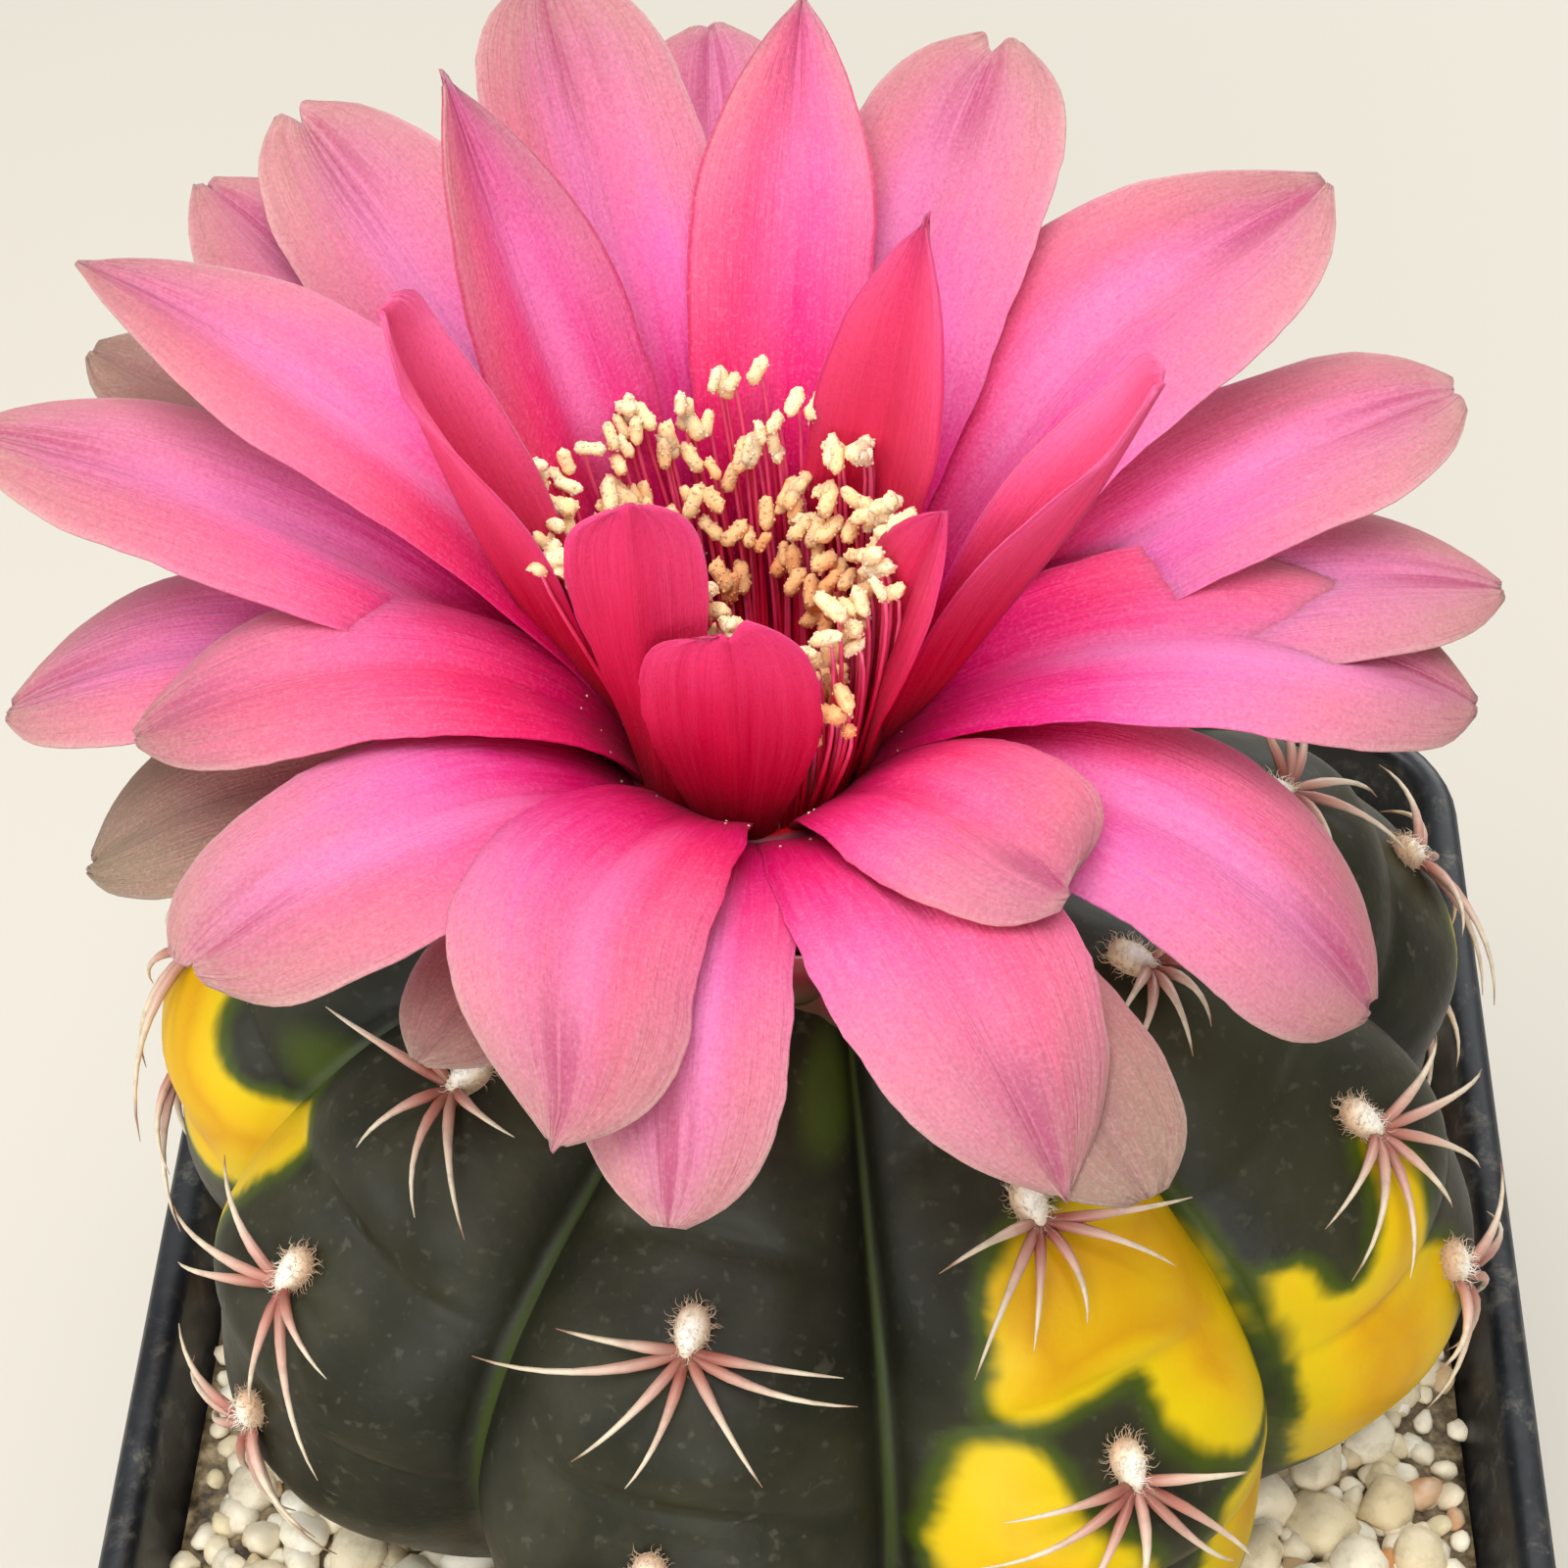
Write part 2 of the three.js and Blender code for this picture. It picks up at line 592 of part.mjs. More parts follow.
// A bent filament with its anther lying across the tip.
function makeStamen(azimuth, rootRadius, tipRadius, tipHeight, tilt) {
  const out = direction(azimuth, 0);
  const side = new THREE.Vector3(-out.y, out.x, 0);
  const foot = THROAT.clone().addScaledVector(out, rootRadius);
  foot.z -= 2.6;
  const tip = THROAT.clone().addScaledVector(out, tipRadius);
  tip.z += tipHeight;
  const stations = [0, 0.5, 1].map((share) => {
    const point = new THREE.Vector3().lerpVectors(foot, tip, share);
    return point.addScaledVector(out, -0.5 * Math.sin(Math.PI * share));
  });
  const stem = loft(stations.map((point) => [90, 210, 330].map((turn) => point.clone()
    .addScaledVector(out, FILAMENT_RADIUS * Math.cos(rad(turn)))
    .addScaledVector(side, FILAMENT_RADIUS * Math.sin(rad(turn))))));
  const anther = new THREE.OctahedronGeometry(1, 0);
  anther.scale(ANTHER_RADIUS, ANTHER_RADIUS, ANTHER_LENGTH / 2);
  anther.rotateX(rad(tilt));
  anther.rotateZ(rad(azimuth));
  anther.translate(tip.x, tip.y, tip.z);
  return stem.add(solidOf(anther));
}

// A collar in the throat that carries every filament that stands clear of the petals.
function makeStamens(petals) {
  const draw = draws(29);
  const profile = [[4.35, -3.1], [4.3, -1.7], [3.0, -1.7], [2.9, -3.1]];
  let all = loft(profile.map(([radius, lift]) => {
    return circle(THROAT.x, THROAT.y, THROAT.z + lift, radius, 20);
  }), true);
  const rows = [
    { count: STAMENS_OUTER, root: 3.9, tip: 6.6, height: 10.2 },
    { count: STAMENS_INNER, root: 3.4, tip: 3.7, height: 6.6 },
  ];
  for (const { count, root, tip, height } of rows) {
    for (let i = 0; i < count; i += 1) {
      const azimuth = (360 * (i + 0.5 * draw())) / count;
      const rise = height + 1.6 * (draw() - 0.5);
      const tilt = 70 * (draw() - 0.5);
      const spans = [tip, 0.85 * tip, 0.7 * tip];
      const tries = spans.map((span) => makeStamen(azimuth, root, span, rise, tilt));
      const clear = tries.find((stamen) => stamen.intersect(petals).isEmpty());
      if (clear) all = all.add(clear);
    }
  }
  return largestBody(all);
}

// The style, with its stigma of short lobes, on the floor of the cup.
function makePistil() {
  const foot = 98.6 + GAP;
  let all = loft([[foot, 1.3], [foot + 2, 0.8], [108.4, 0.8]].map(([z, radius]) => {
    return circle(THROAT.x, THROAT.y, z, radius, 10);
  }));
  for (let i = 0; i < 6; i += 1) {
    const lobe = new THREE.OctahedronGeometry(1, 0);
    lobe.scale(1.2, 0.5, 0.5);
    lobe.rotateY(rad(-35));
    lobe.translate(1.1, 0, 0);
    lobe.rotateZ(rad(60 * i));
    lobe.translate(THROAT.x, THROAT.y, 108.4);
    all = all.add(solidOf(lobe));
  }
  return largestBody(all);
}

// ---- the finished object ----
const group = new THREE.Group();

function finish(color, roughness) {
  return new THREE.MeshStandardMaterial({ color, roughness, metalness: 0 });
}

function addPiece(name, solid, color, roughness) {
  const mesh = solid.getMesh();
  const geometry = new THREE.BufferGeometry();
  geometry.setAttribute("position", new THREE.BufferAttribute(mesh.vertProperties, 3));
  geometry.setIndex(new THREE.BufferAttribute(mesh.triVerts, 1));
  geometry.computeVertexNormals();
  const piece = new THREE.Mesh(geometry, finish(color, roughness));
  piece.name = name;
  group.add(piece);
}

const rootHole = makeBody(GAP);
addPiece("pot", makePot(), 0x303236, 0.55);
addPiece("soil", makeSoil(rootHole), 0x4a3a2c, 0.95);
addPiece("grit_topping", makeGrit(rootHole), 0xcfc5b0, 0.9);
addPiece("cactus_body", makeBody(), 0x373c32, 0.5);

for (let rib = 0; rib < RIBS; rib += 1) {
  const azimuth = FIRST_RIB + (360 / RIBS) * rib;
  areoleAngles(rib).forEach((angle, row) => {
    const nearTube = overBody(azimuth, angle, 0).at.distanceTo(TUBE_FOOT) < 9.5;
    if (nearTube) return;
    const name = `areole_rib${rib + 1}_row${row + 1}`;
    addPiece(name, makeAreole(azimuth, angle), 0xd8c2a4, 0.8);
  });
}

const petals = makePetals();
addPiece("flower_tube", makeTube(rootHole), 0x8a1f35, 0.5);
addPiece("petals", petals, 0xf0577f, 0.55);
addPiece("stamens", makeStamens(petals), 0xf2cf8e, 0.8);
addPiece("pistil", makePistil(), 0xd86a7c, 0.6);

export default group;
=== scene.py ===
# %% [markdown]
# # A round chin cactus in flower, in a square nursery pot
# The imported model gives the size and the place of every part: the pot, the soil, the grit, the ribbed
# body, an areole with its spines on every knob of every rib, and the flower. This lesson dresses it.
# Work goes from the ground up: camera and light first, then pot, grit, body, spines and the flower.
# All lengths are written in millimetres and angles in degrees, because that is how a gardener would
# measure the plant. They are turned into Blender's metres and radians in one place.

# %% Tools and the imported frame
import json
import math
import random

import bpy
import numpy as np
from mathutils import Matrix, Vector
from mathutils import noise as value_noise

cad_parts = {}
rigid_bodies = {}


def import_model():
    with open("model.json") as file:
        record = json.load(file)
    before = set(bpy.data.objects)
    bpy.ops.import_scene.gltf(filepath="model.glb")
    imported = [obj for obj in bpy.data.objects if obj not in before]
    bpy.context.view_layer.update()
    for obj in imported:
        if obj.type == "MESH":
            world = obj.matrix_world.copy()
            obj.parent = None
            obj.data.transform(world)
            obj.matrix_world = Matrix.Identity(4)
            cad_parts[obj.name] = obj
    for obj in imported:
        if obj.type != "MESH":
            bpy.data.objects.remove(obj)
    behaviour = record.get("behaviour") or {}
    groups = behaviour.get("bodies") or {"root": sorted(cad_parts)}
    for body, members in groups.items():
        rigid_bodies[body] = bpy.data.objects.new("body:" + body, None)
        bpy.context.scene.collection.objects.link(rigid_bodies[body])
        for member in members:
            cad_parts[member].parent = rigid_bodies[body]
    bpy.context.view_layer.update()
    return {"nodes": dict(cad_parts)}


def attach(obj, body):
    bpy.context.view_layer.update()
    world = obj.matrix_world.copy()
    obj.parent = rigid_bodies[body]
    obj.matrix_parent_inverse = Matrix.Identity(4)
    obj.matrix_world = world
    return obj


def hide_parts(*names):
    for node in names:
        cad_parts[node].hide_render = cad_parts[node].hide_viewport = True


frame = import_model()
MM = 0.001
print("nodes in the frame:", len(frame["nodes"]))

# %% [markdown]
# ## The camera
# A close portrait of a flower is taken from above and in front, near enough for the far side to shrink.
# So the distance matters more than the lens: the camera is put at the photographer's place first, and
# the focal length follows from how much of the plant fills the picture.
# A film-like view transform would fade a saturated petal towards white. The plain one keeps the pinks.

# %% Camera
CAMERA_AT = (0.4, -87.2, 202.8)
CAMERA_PITCH = 50.0  # below the horizon
CAMERA_HEADING = 2.1  # to the left of straight ahead
CAMERA_FOCAL = 3180  # in pixels of the 1600-pixel frame
FRAME_PIXELS = 1600
SENSOR = 36.0

camera_data = bpy.data.cameras.new("camera")
camera_data.sensor_width = SENSOR
camera_data.lens = CAMERA_FOCAL / FRAME_PIXELS * SENSOR
camera_data.clip_start = 0.005
camera = bpy.data.objects.new("camera", camera_data)
bpy.context.collection.objects.link(camera)
camera.location = Vector(CAMERA_AT) * MM
camera.rotation_euler = (
    math.radians(90 - CAMERA_PITCH), 0, math.radians(CAMERA_HEADING))
bpy.context.scene.camera = camera
bpy.context.scene.view_settings.view_transform = "Standard"
print("lens", round(camera_data.lens, 1), "mm")

# %% [markdown]
# ## Soft studio light on a pale floor
# Petals are thin and satiny, so they look best in broad light with soft edges. One wide panel stands
# above and a little in front, weaker ones fill from the left, the front and the back, and the pale
# surroundings do the rest. The floor is plain, so nothing competes with the flower.

# %% Light


def soft_box(name, at, size, watts):
    """A square soft box that faces the flower."""
    data = bpy.data.lights.new(name, "AREA")
    data.shape = "SQUARE"
    data.size = size * MM
    data.energy = watts
    light = bpy.data.objects.new(name, data)
    bpy.context.collection.objects.link(light)
    light.location = Vector(at) * MM
    aim = Vector(FLOWER_MIDDLE) - Vector(at)
    light.rotation_euler = aim.to_track_quat("-Z", "Y").to_euler()
    return light


FLOWER_MIDDLE = (-4, -3, 110)
soft_box("sky_panel", (-40, -70, 560), 380, 2.8)
soft_box("left_fill", (-480, -160, 260), 320, 1.1)
soft_box("front_fill", (-60, -540, 320), 340, 1.75)
soft_box("back_rim", (200, 460, 300), 320, 1.4)

world = bpy.data.worlds.new("studio")
world.use_nodes = True
world.node_tree.nodes["Background"].inputs["Color"].default_value = (0.95, 0.97, 1.0, 1)
world.node_tree.nodes["Background"].inputs["Strength"].default_value = 0.4
bpy.context.scene.world = world

# %% [markdown]
# ## Meshes from rows of points
# Nearly every piece here is a skin over rows of points, so one helper turns points and faces into a
# smooth mesh. It can also keep a number for each point, such as how far along a petal it lies. The
# materials read those numbers, and that way a colour follows the petal however it bends.

# %% Helpers for meshes


def direction(azimuth, rise=0.0):
    """A unit direction from its azimuth and its rise over the horizontal."""
    a, e = math.radians(azimuth), math.radians(rise)
    return np.array([math.cos(e) * math.cos(a), math.cos(e) * math.sin(a), math.sin(e)])


def unit(vector):
    return vector / np.linalg.norm(vector)


def bell(x):
    """1 at 0, and quickly to 0 on both sides."""
    return math.exp(-x * x)


def smooth(x, low=0.0, high=1.0):
    """0 below low, 1 above high, and an even S between."""
    t = min(max((x - low) / (high - low), 0.0), 1.0)
    return t * t * (3 - 2 * t)


def mesh_object(name, points, faces, values=None, edges=()):
    """A smooth mesh from points in millimetres. values: one number for each point, by name."""
    mesh = bpy.data.meshes.new(name)
    mesh.from_pydata([tuple(p) for p in np.asarray(points) * MM], edges, faces)
    mesh.shade_smooth()
    for key, numbers in (values or {}).items():
        numbers = np.asarray(numbers, dtype=np.float32)
        kind = ("FLOAT_VECTOR", "vector") if numbers.ndim == 2 else ("FLOAT", "value")
        mesh.attributes.new(key, kind[0], "POINT").data.foreach_set(kind[1], numbers.ravel())
    piece = bpy.data.objects.new(name, mesh)
    bpy.context.collection.objects.link(piece)
    return piece


def ring_faces(rows, count, closed_ends=(True, True)):
    """Quads over rows of rings with count points each, and a flat face over each closed end."""
    faces = []
    for i in range(rows - 1):
        for j in range(count):
            low, next_j = i * count, (j + 1) % count
            faces.append((low + j, low + next_j, low + count + next_j, low + count + j))
    if closed_ends[0]:
        faces.append(tuple(reversed(range(count))))
    if closed_ends[1]:
        faces.append(tuple((rows - 1) * count + j for j in range(count)))
    return faces


def turned(name, profile, count=72, middle=(0, 0), values=None):
    """A closed skin from a profile of (radius, height) turned round an upright axis."""
    points = [(middle[0] + r * math.cos(a), middle[1] + r * math.sin(a), z)
              for r, z in profile for a in np.linspace(0, 2 * math.pi, count, endpoint=False)]
    return mesh_object(name, points, ring_faces(len(profile), count), values)


def join(name, pieces):
    """Several objects made one, with their numbers kept."""
    bpy.ops.object.select_all(action="DESELECT")
    for piece in pieces:
        piece.select_set(True)
    bpy.context.view_layer.objects.active = pieces[0]
    bpy.ops.object.join()
    whole = bpy.context.view_layer.objects.active
    whole.name = name
    whole.data.name = name
    return whole


def move_to(piece, box):
    """Puts an object in one collection only."""
    for holder in list(piece.users_collection):
        holder.objects.unlink(piece)
    box.objects.link(piece)


def dress(piece, finish, slot, *nodes):
    """Gives a piece its finish and its body, and hides the nodes that it stands for. slot: not used."""
    piece.data.materials.clear()
    piece.data.materials.append(finish)
    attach(piece, "root")
    if nodes:
        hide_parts(*nodes)
    triangles = sum(len(face.vertices) - 2 for face in piece.data.polygons)
    print(f"{piece.name}: {triangles} triangles")
    return piece


# %% [markdown]
# ## Trees of nodes
# Materials and Geometry Nodes are both trees, and the same steps come back in both: add a node, feed a
# socket, do a sum. They are wrapped once in short methods, so that each tree below reads as a recipe.

# %% Helper for both kinds of tree


def rgb(code):
    """A screen colour such as '#F0507E' as the linear colour that shaders use."""
    parts = [int(code[i:i + 2], 16) / 255 for i in (1, 3, 5)]
    linear = [p / 12.92 if p <= 0.04045 else ((p + 0.055) / 1.055) ** 2.4 for p in parts]
    return (*linear, 1.0)


class Steps:
    """Short ways to place and link the nodes of one tree."""

    def __init__(self, tree):
        self.tree = tree

    def add(self, kind, **settings):
        step = self.tree.nodes.new(kind)
        for key, value in settings.items():
            setattr(step, key, value)
        return step

    def feed(self, socket, value):
        """Sets a socket from another step's output, or from a number, a colour or a name."""
        if isinstance(value, bpy.types.NodeSocket):
            self.tree.links.new(value, socket)
        else:
            socket.default_value = value

    def math(self, operation, a, b=0.0, clamp=False):
        step = self.add("ShaderNodeMath", operation=operation, use_clamp=clamp)
        self.feed(step.inputs[0], a)
        self.feed(step.inputs[1], b)
        return step.outputs[0]

    def times(self, a, b):
        return self.math("MULTIPLY", a, b)

    def plus(self, a, b, clamp=False):
        return self.math("ADD", a, b, clamp)

    def less(self, a, b):
        return self.math("SUBTRACT", a, b)

    def noise(self, scale, detail=3.0, roughness=0.5, where=None, distort=0.0):
        step = self.add("ShaderNodeTexNoise")
        if where is not None:
            self.feed(step.inputs["Vector"], where)
        for socket, value in (("Scale", scale), ("Detail", detail), ("Roughness", roughness),
                              ("Distortion", distort)):
            step.inputs[socket].default_value = value
        return step.outputs["Fac"]

    def vector(self, x, y, z):
        step = self.add("ShaderNodeCombineXYZ")
        for socket, value in zip(step.inputs, (x, y, z)):
            self.feed(socket, value)
        return step.outputs[0]


# %% Helper for finishes


class Finish(Steps):
    """A Principled material. Sizes of its patterns are in metres, as object coordinates are."""

    def __init__(self, name, **sockets):
        self.material = bpy.data.materials.new(name)
        self.material.use_nodes = True
        super().__init__(self.material.node_tree)
        self.shader = self.tree.nodes["Principled BSDF"]
        for socket, value in sockets.items():
            self.shader.inputs[socket.replace("_", " ")].default_value = value
        self.place = self.add("ShaderNodeTexCoord").outputs["Object"]

    def noise(self, scale, detail=3.0, roughness=0.5, where=None, distort=0.0):
        return super().noise(scale, detail, roughness, where or self.place, distort)

    def stretched(self, scale, source=None):
        step = self.add("ShaderNodeMapping")
        self.feed(step.inputs["Vector"], source or self.place)
        step.inputs["Scale"].default_value = scale
        return step.outputs["Vector"]

    def number(self, name):
        return self.add("ShaderNodeAttribute", attribute_name=name).outputs["Fac"]

    def between(self, value, low, high, to_low=0.0, to_high=1.0):
        """Moves a range of numbers onto another one, smoothly and clamped."""
        step = self.add("ShaderNodeMapRange", interpolation_type="SMOOTHSTEP")
        self.feed(step.inputs["Value"], value)
        for socket, number in zip(
                ("From Min", "From Max", "To Min", "To Max"), (low, high, to_low, to_high)):
            step.inputs[socket].default_value = number
        return step.outputs["Result"]

    def ramp(self, value, *stops):
        step = self.add("ShaderNodeValToRGB")
        self.feed(step.inputs["Fac"], value)
        marks = step.color_ramp.elements
        while len(marks) < len(stops):
            marks.new(0.5)
        for mark, (place, colour) in zip(marks, stops):
            mark.position = place
            mark.color = rgb(colour)
        return step.outputs["Color"]

    def mix(self, share, a, b, blend="MIX"):
        step = self.add("ShaderNodeMix", data_type="RGBA", blend_type=blend)
        self.feed(step.inputs["Factor"], share)
        self.feed(step.inputs[6], rgb(a) if isinstance(a, str) else a)
        self.feed(step.inputs[7], rgb(b) if isinstance(b, str) else b)
        return step.outputs[2]

    def bump(self, height, distance, strength=1.0, after=None):
        """A bump whose distance is in millimetres."""
        step = self.add("ShaderNodeBump")
        step.inputs["Strength"].default_value = strength
        step.inputs["Distance"].default_value = distance * MM
        self.feed(step.inputs["Height"], height)
        if after is not None:
            self.feed(step.inputs["Normal"], after)
        return step.outputs["Normal"]

    def done(self, colour, roughness=None, normal=None):
        self.feed(self.shader.inputs["Base Color"], rgb(colour) if isinstance(colour, str) else colour)
        if roughness is not None:
            self.feed(self.shader.inputs["Roughness"], roughness)
        if normal is not None:
            self.feed(self.shader.inputs["Normal"], normal)
        return self.material


# %% [markdown]
# A growth rule is a Geometry Nodes tree with named inputs. It takes a simple base mesh, such as a
# surface or a set of threads, and grows the real thing on it. The result is frozen into a plain mesh at
# once, because a frozen mesh is what an export can carry.

# %% Helper for growth rules


class Growth(Steps):
    """A Geometry Nodes tree with named inputs, run on a base mesh and frozen."""

    KINDS = {float: "NodeSocketFloat", int: "NodeSocketInt",
             bpy.types.Object: "NodeSocketObject", bpy.types.Collection: "NodeSocketCollection",
             bpy.types.Material: "NodeSocketMaterial"}

    def __init__(self, title, base, finish, **inputs):
        super().__init__(bpy.data.node_groups.new(title, "GeometryNodeTree"))
        self.base, self.values = base, {}
        face = self.tree.interface
        face.new_socket("Geometry", in_out="INPUT", socket_type="NodeSocketGeometry")
        face.new_socket("Geometry", in_out="OUTPUT", socket_type="NodeSocketGeometry")
        for key, value in dict(inputs, Finish=finish).items():
            kind = next(k for t, k in self.KINDS.items() if isinstance(value, t))
            socket = face.new_socket(key.replace("_", " "), in_out="INPUT", socket_type=kind)
            self.values[socket.identifier] = value
        self.start = self.add("NodeGroupInput")
        self.geometry = self.start.outputs["Geometry"]

    def given(self, key):
        return self.start.outputs[key]

    def number(self, name, kind="FLOAT"):
        step = self.add("GeometryNodeInputNamedAttribute", data_type=kind)
        step.inputs["Name"].default_value = name
        return step.outputs["Attribute"]

    def pass_on(self, kind, **feeds):
        """One more step on the geometry. feeds: settings in lower case, sockets with a capital."""
        step = self.add(kind, **{k: v for k, v in feeds.items() if k.islower()})
        self.feed(step.inputs[0], self.geometry)
        for key, value in feeds.items():
            if not key.islower():
                self.feed(step.inputs[key.replace("_", " ")], value)
        self.geometry = step.outputs[0]
        return step

    def random_size(self, least, most, seed=0):
        """A random number for each point."""
        step = self.add("FunctionNodeRandomValue", data_type="FLOAT")
        self.feed(step.inputs[2], least)
        self.feed(step.inputs[3], most)
        step.inputs["Seed"].default_value = seed
        return step.outputs[1]

    def random_turn(self, least, most, seed=0):
        """A random rotation for each point, from Euler angles in radians."""
        step = self.add("FunctionNodeRandomValue", data_type="FLOAT_VECTOR")
        self.feed(step.inputs[0], least)
        self.feed(step.inputs[1], most)
        step.inputs["Seed"].default_value = seed
        turn = self.add("FunctionNodeEulerToRotation")
        self.feed(turn.inputs[0], step.outputs[0])
        return turn.outputs[0]

    def facing(self, name):
        """The rotation that turns a shape's Z axis to a vector that each point keeps."""
        step = self.add("FunctionNodeAlignRotationToVector", axis="Z")
        self.feed(step.inputs["Vector"], self.number(name, "FLOAT_VECTOR"))
        return step.outputs[0]

    def kinds(self, key):
        """The objects of a collection, to pick from."""
        step = self.add("GeometryNodeCollectionInfo")
        self.feed(step.inputs["Collection"], self.given(key))
        step.inputs["Separate Children"].default_value = True
        step.inputs["Reset Children"].default_value = True
        return step.outputs[0]

    def shape(self, key):
        """The mesh of an object."""
        step = self.add("GeometryNodeObjectInfo")
        self.feed(step.inputs["Object"], self.given(key))
        return step.outputs["Geometry"]

    def gather(self, *layers):
        """Goes on with several layers of geometry as one."""
        step = self.add("GeometryNodeJoinGeometry")
        for layer in layers:
            self.tree.links.new(layer, step.inputs[0])
        self.geometry = step.outputs[0]

    def frozen(self, name):
        """Ends the tree, runs it on the base mesh, and gives the result back as a plain mesh."""
        self.pass_on("GeometryNodeRealizeInstances")
        self.pass_on("GeometryNodeSetMaterial", Material=self.given("Finish"))
        end = self.add("NodeGroupOutput")
        self.tree.links.new(self.geometry, end.inputs[0])
        modifier = self.base.modifiers.new(name, "NODES")
        modifier.node_group = self.tree
        for identifier, value in self.values.items():
            modifier[identifier] = value
        depsgraph = bpy.context.evaluated_depsgraph_get()
        mesh = bpy.data.meshes.new_from_object(
            self.base.evaluated_get(depsgraph), preserve_all_data_layers=True, depsgraph=depsgraph)
        self.base.modifiers.clear()
        bpy.data.objects.remove(self.base)
        mesh.name = name
        mesh.shade_smooth()
        piece = bpy.data.objects.new(name, mesh)
        bpy.context.collection.objects.link(piece)
        return piece


# %% [markdown]
# ## The floor
# The floor is one plain, pale sheet. It reaches far beyond the picture, so the camera sees no edge.

# %% Floor
FLOOR_HALF = 1500.0

floor_corners = [(-FLOOR_HALF, -FLOOR_HALF, 0), (FLOOR_HALF, -FLOOR_HALF, 0),
                 (FLOOR_HALF, FLOOR_HALF, 0), (-FLOOR_HALF, FLOOR_HALF, 0)]
floor = mesh_object("floor", floor_corners, [(0, 1, 2, 3)])
floor.data.materials.append(Finish("pale_floor", Roughness=0.8).done("#C6C0B4"))

# %% [markdown]
# ## The nursery pot
# The pot is blow-moulded black plastic: a square with rounded corners that narrows downwards, with a
# rolled rim and four drain holes. It could be a cube with bevels, but its wall, rim and floor are one
# continuous sheet, so it is lofted: one rounded square for each height, from the middle of the base up
# the outside, over the rim and down the inside. The holes are then cut with a Boolean.

# %% The pot's shell
POT_TOP = 70.0
POT_BASE = 51.0
POT_HEIGHT = 65.0
POT_WALL = 1.2
POT_FLOOR = 1.6
POT_CORNER = 6.0
RIM_EXTRA = 2.2  # how much wider the rim is than the wall that it stands on
DRAIN_HOLE = 3.2
DRAIN_AT = 13.0


def rounded_square(width, corner, turns=10, along=6):
    """Points round a square with rounded corners, as many for every size."""
    points = []
    for k in range(4):
        start = 90 * k
        middle = direction(start + 45)[:2] * math.sqrt(2) * (width / 2 - corner)
        arc = [middle + direction(start + 90 * i / turns)[:2] * corner for i in range(turns + 1)]
        onward = direction(start + 90)[:2] * corner
        far = direction(start + 135)[:2] * math.sqrt(2) * (width / 2 - corner) + onward
        side = [arc[-1] + (far - arc[-1]) * i / along for i in range(1, along)]
        points += arc + side
    return points


def wall_width(z):
    return POT_BASE + (POT_TOP - RIM_EXTRA - POT_BASE) * z / POT_HEIGHT


OUTSIDE = [(POT_BASE - 2.2, POT_CORNER - 1.1, 0.0), (POT_BASE - 1.0, POT_CORNER - 0.5, 0.12),
           (POT_BASE - 0.2, POT_CORNER - 0.1, 0.6)]
OUTSIDE += [(wall_width(z), POT_CORNER, z) for z in (1.6, 12, 24, 36, 48, 56, 59.2, 59.8)]
RIM = [(67.6, 6.1, 59.95), (69.0, 6.6, 60.0), (69.5, 6.9, 60.4), (69.8, 7.0, 61.2), (70.0, 7.0, 62.6),
       (70.0, 7.0, 63.7), (69.75, 6.9, 64.4), (69.2, 6.6, 64.85), (68.4, 6.2, 65.0), (67.2, 5.6, 65.0),
       (66.5, 5.3, 64.8), (66.0, 5.0, 64.3), (65.7, 4.9, 63.4)]
INSIDE = [(wall_width(z) - 2 * POT_WALL, POT_CORNER - POT_WALL, z) for z in (60, 48, 36, 24, 12, 3)]
INSIDE += [(wall_width(POT_FLOOR) - 2 * POT_WALL - 1.2, POT_CORNER - POT_WALL - 0.6, POT_FLOOR)]


def make_pot():
    rings = OUTSIDE + RIM + INSIDE
    points = [(x, y, z) for width, corner, z in rings for x, y in rounded_square(width, corner)]
    shell = mesh_object("pot_shell", points, ring_faces(len(rings), len(points) // len(rings)))
    drills = []
    for x in (-DRAIN_AT, DRAIN_AT):
        for y in (-DRAIN_AT, DRAIN_AT):
            profile = [(DRAIN_HOLE, -2), (DRAIN_HOLE, POT_FLOOR + 2)]
            drills.append(turned("drill", profile, 32, (x, y)))
    drill = join("drills", drills)
    cut = shell.modifiers.new("drain_holes", "BOOLEAN")
    cut.object = drill
    cut.operation = "DIFFERENCE"
    cut.solver = "EXACT"
    depsgraph = bpy.context.evaluated_depsgraph_get()
    mesh = bpy.data.meshes.new_from_object(shell.evaluated_get(depsgraph), depsgraph=depsgraph)
    pot = bpy.data.objects.new("nursery_pot", mesh)
    bpy.context.collection.objects.link(pot)
    bpy.data.objects.remove(shell)
    bpy.data.objects.remove(drill)
    mesh.set_sharp_from_angle(angle=math.radians(50))
    return pot


# %% [markdown]
# The plastic is charcoal and half matt, with the fine grain of its mould. Lime and dust settle on the
# rim and in scuffs, so they are drawn by height and by a coarse noise.

# %% Finish of the pot


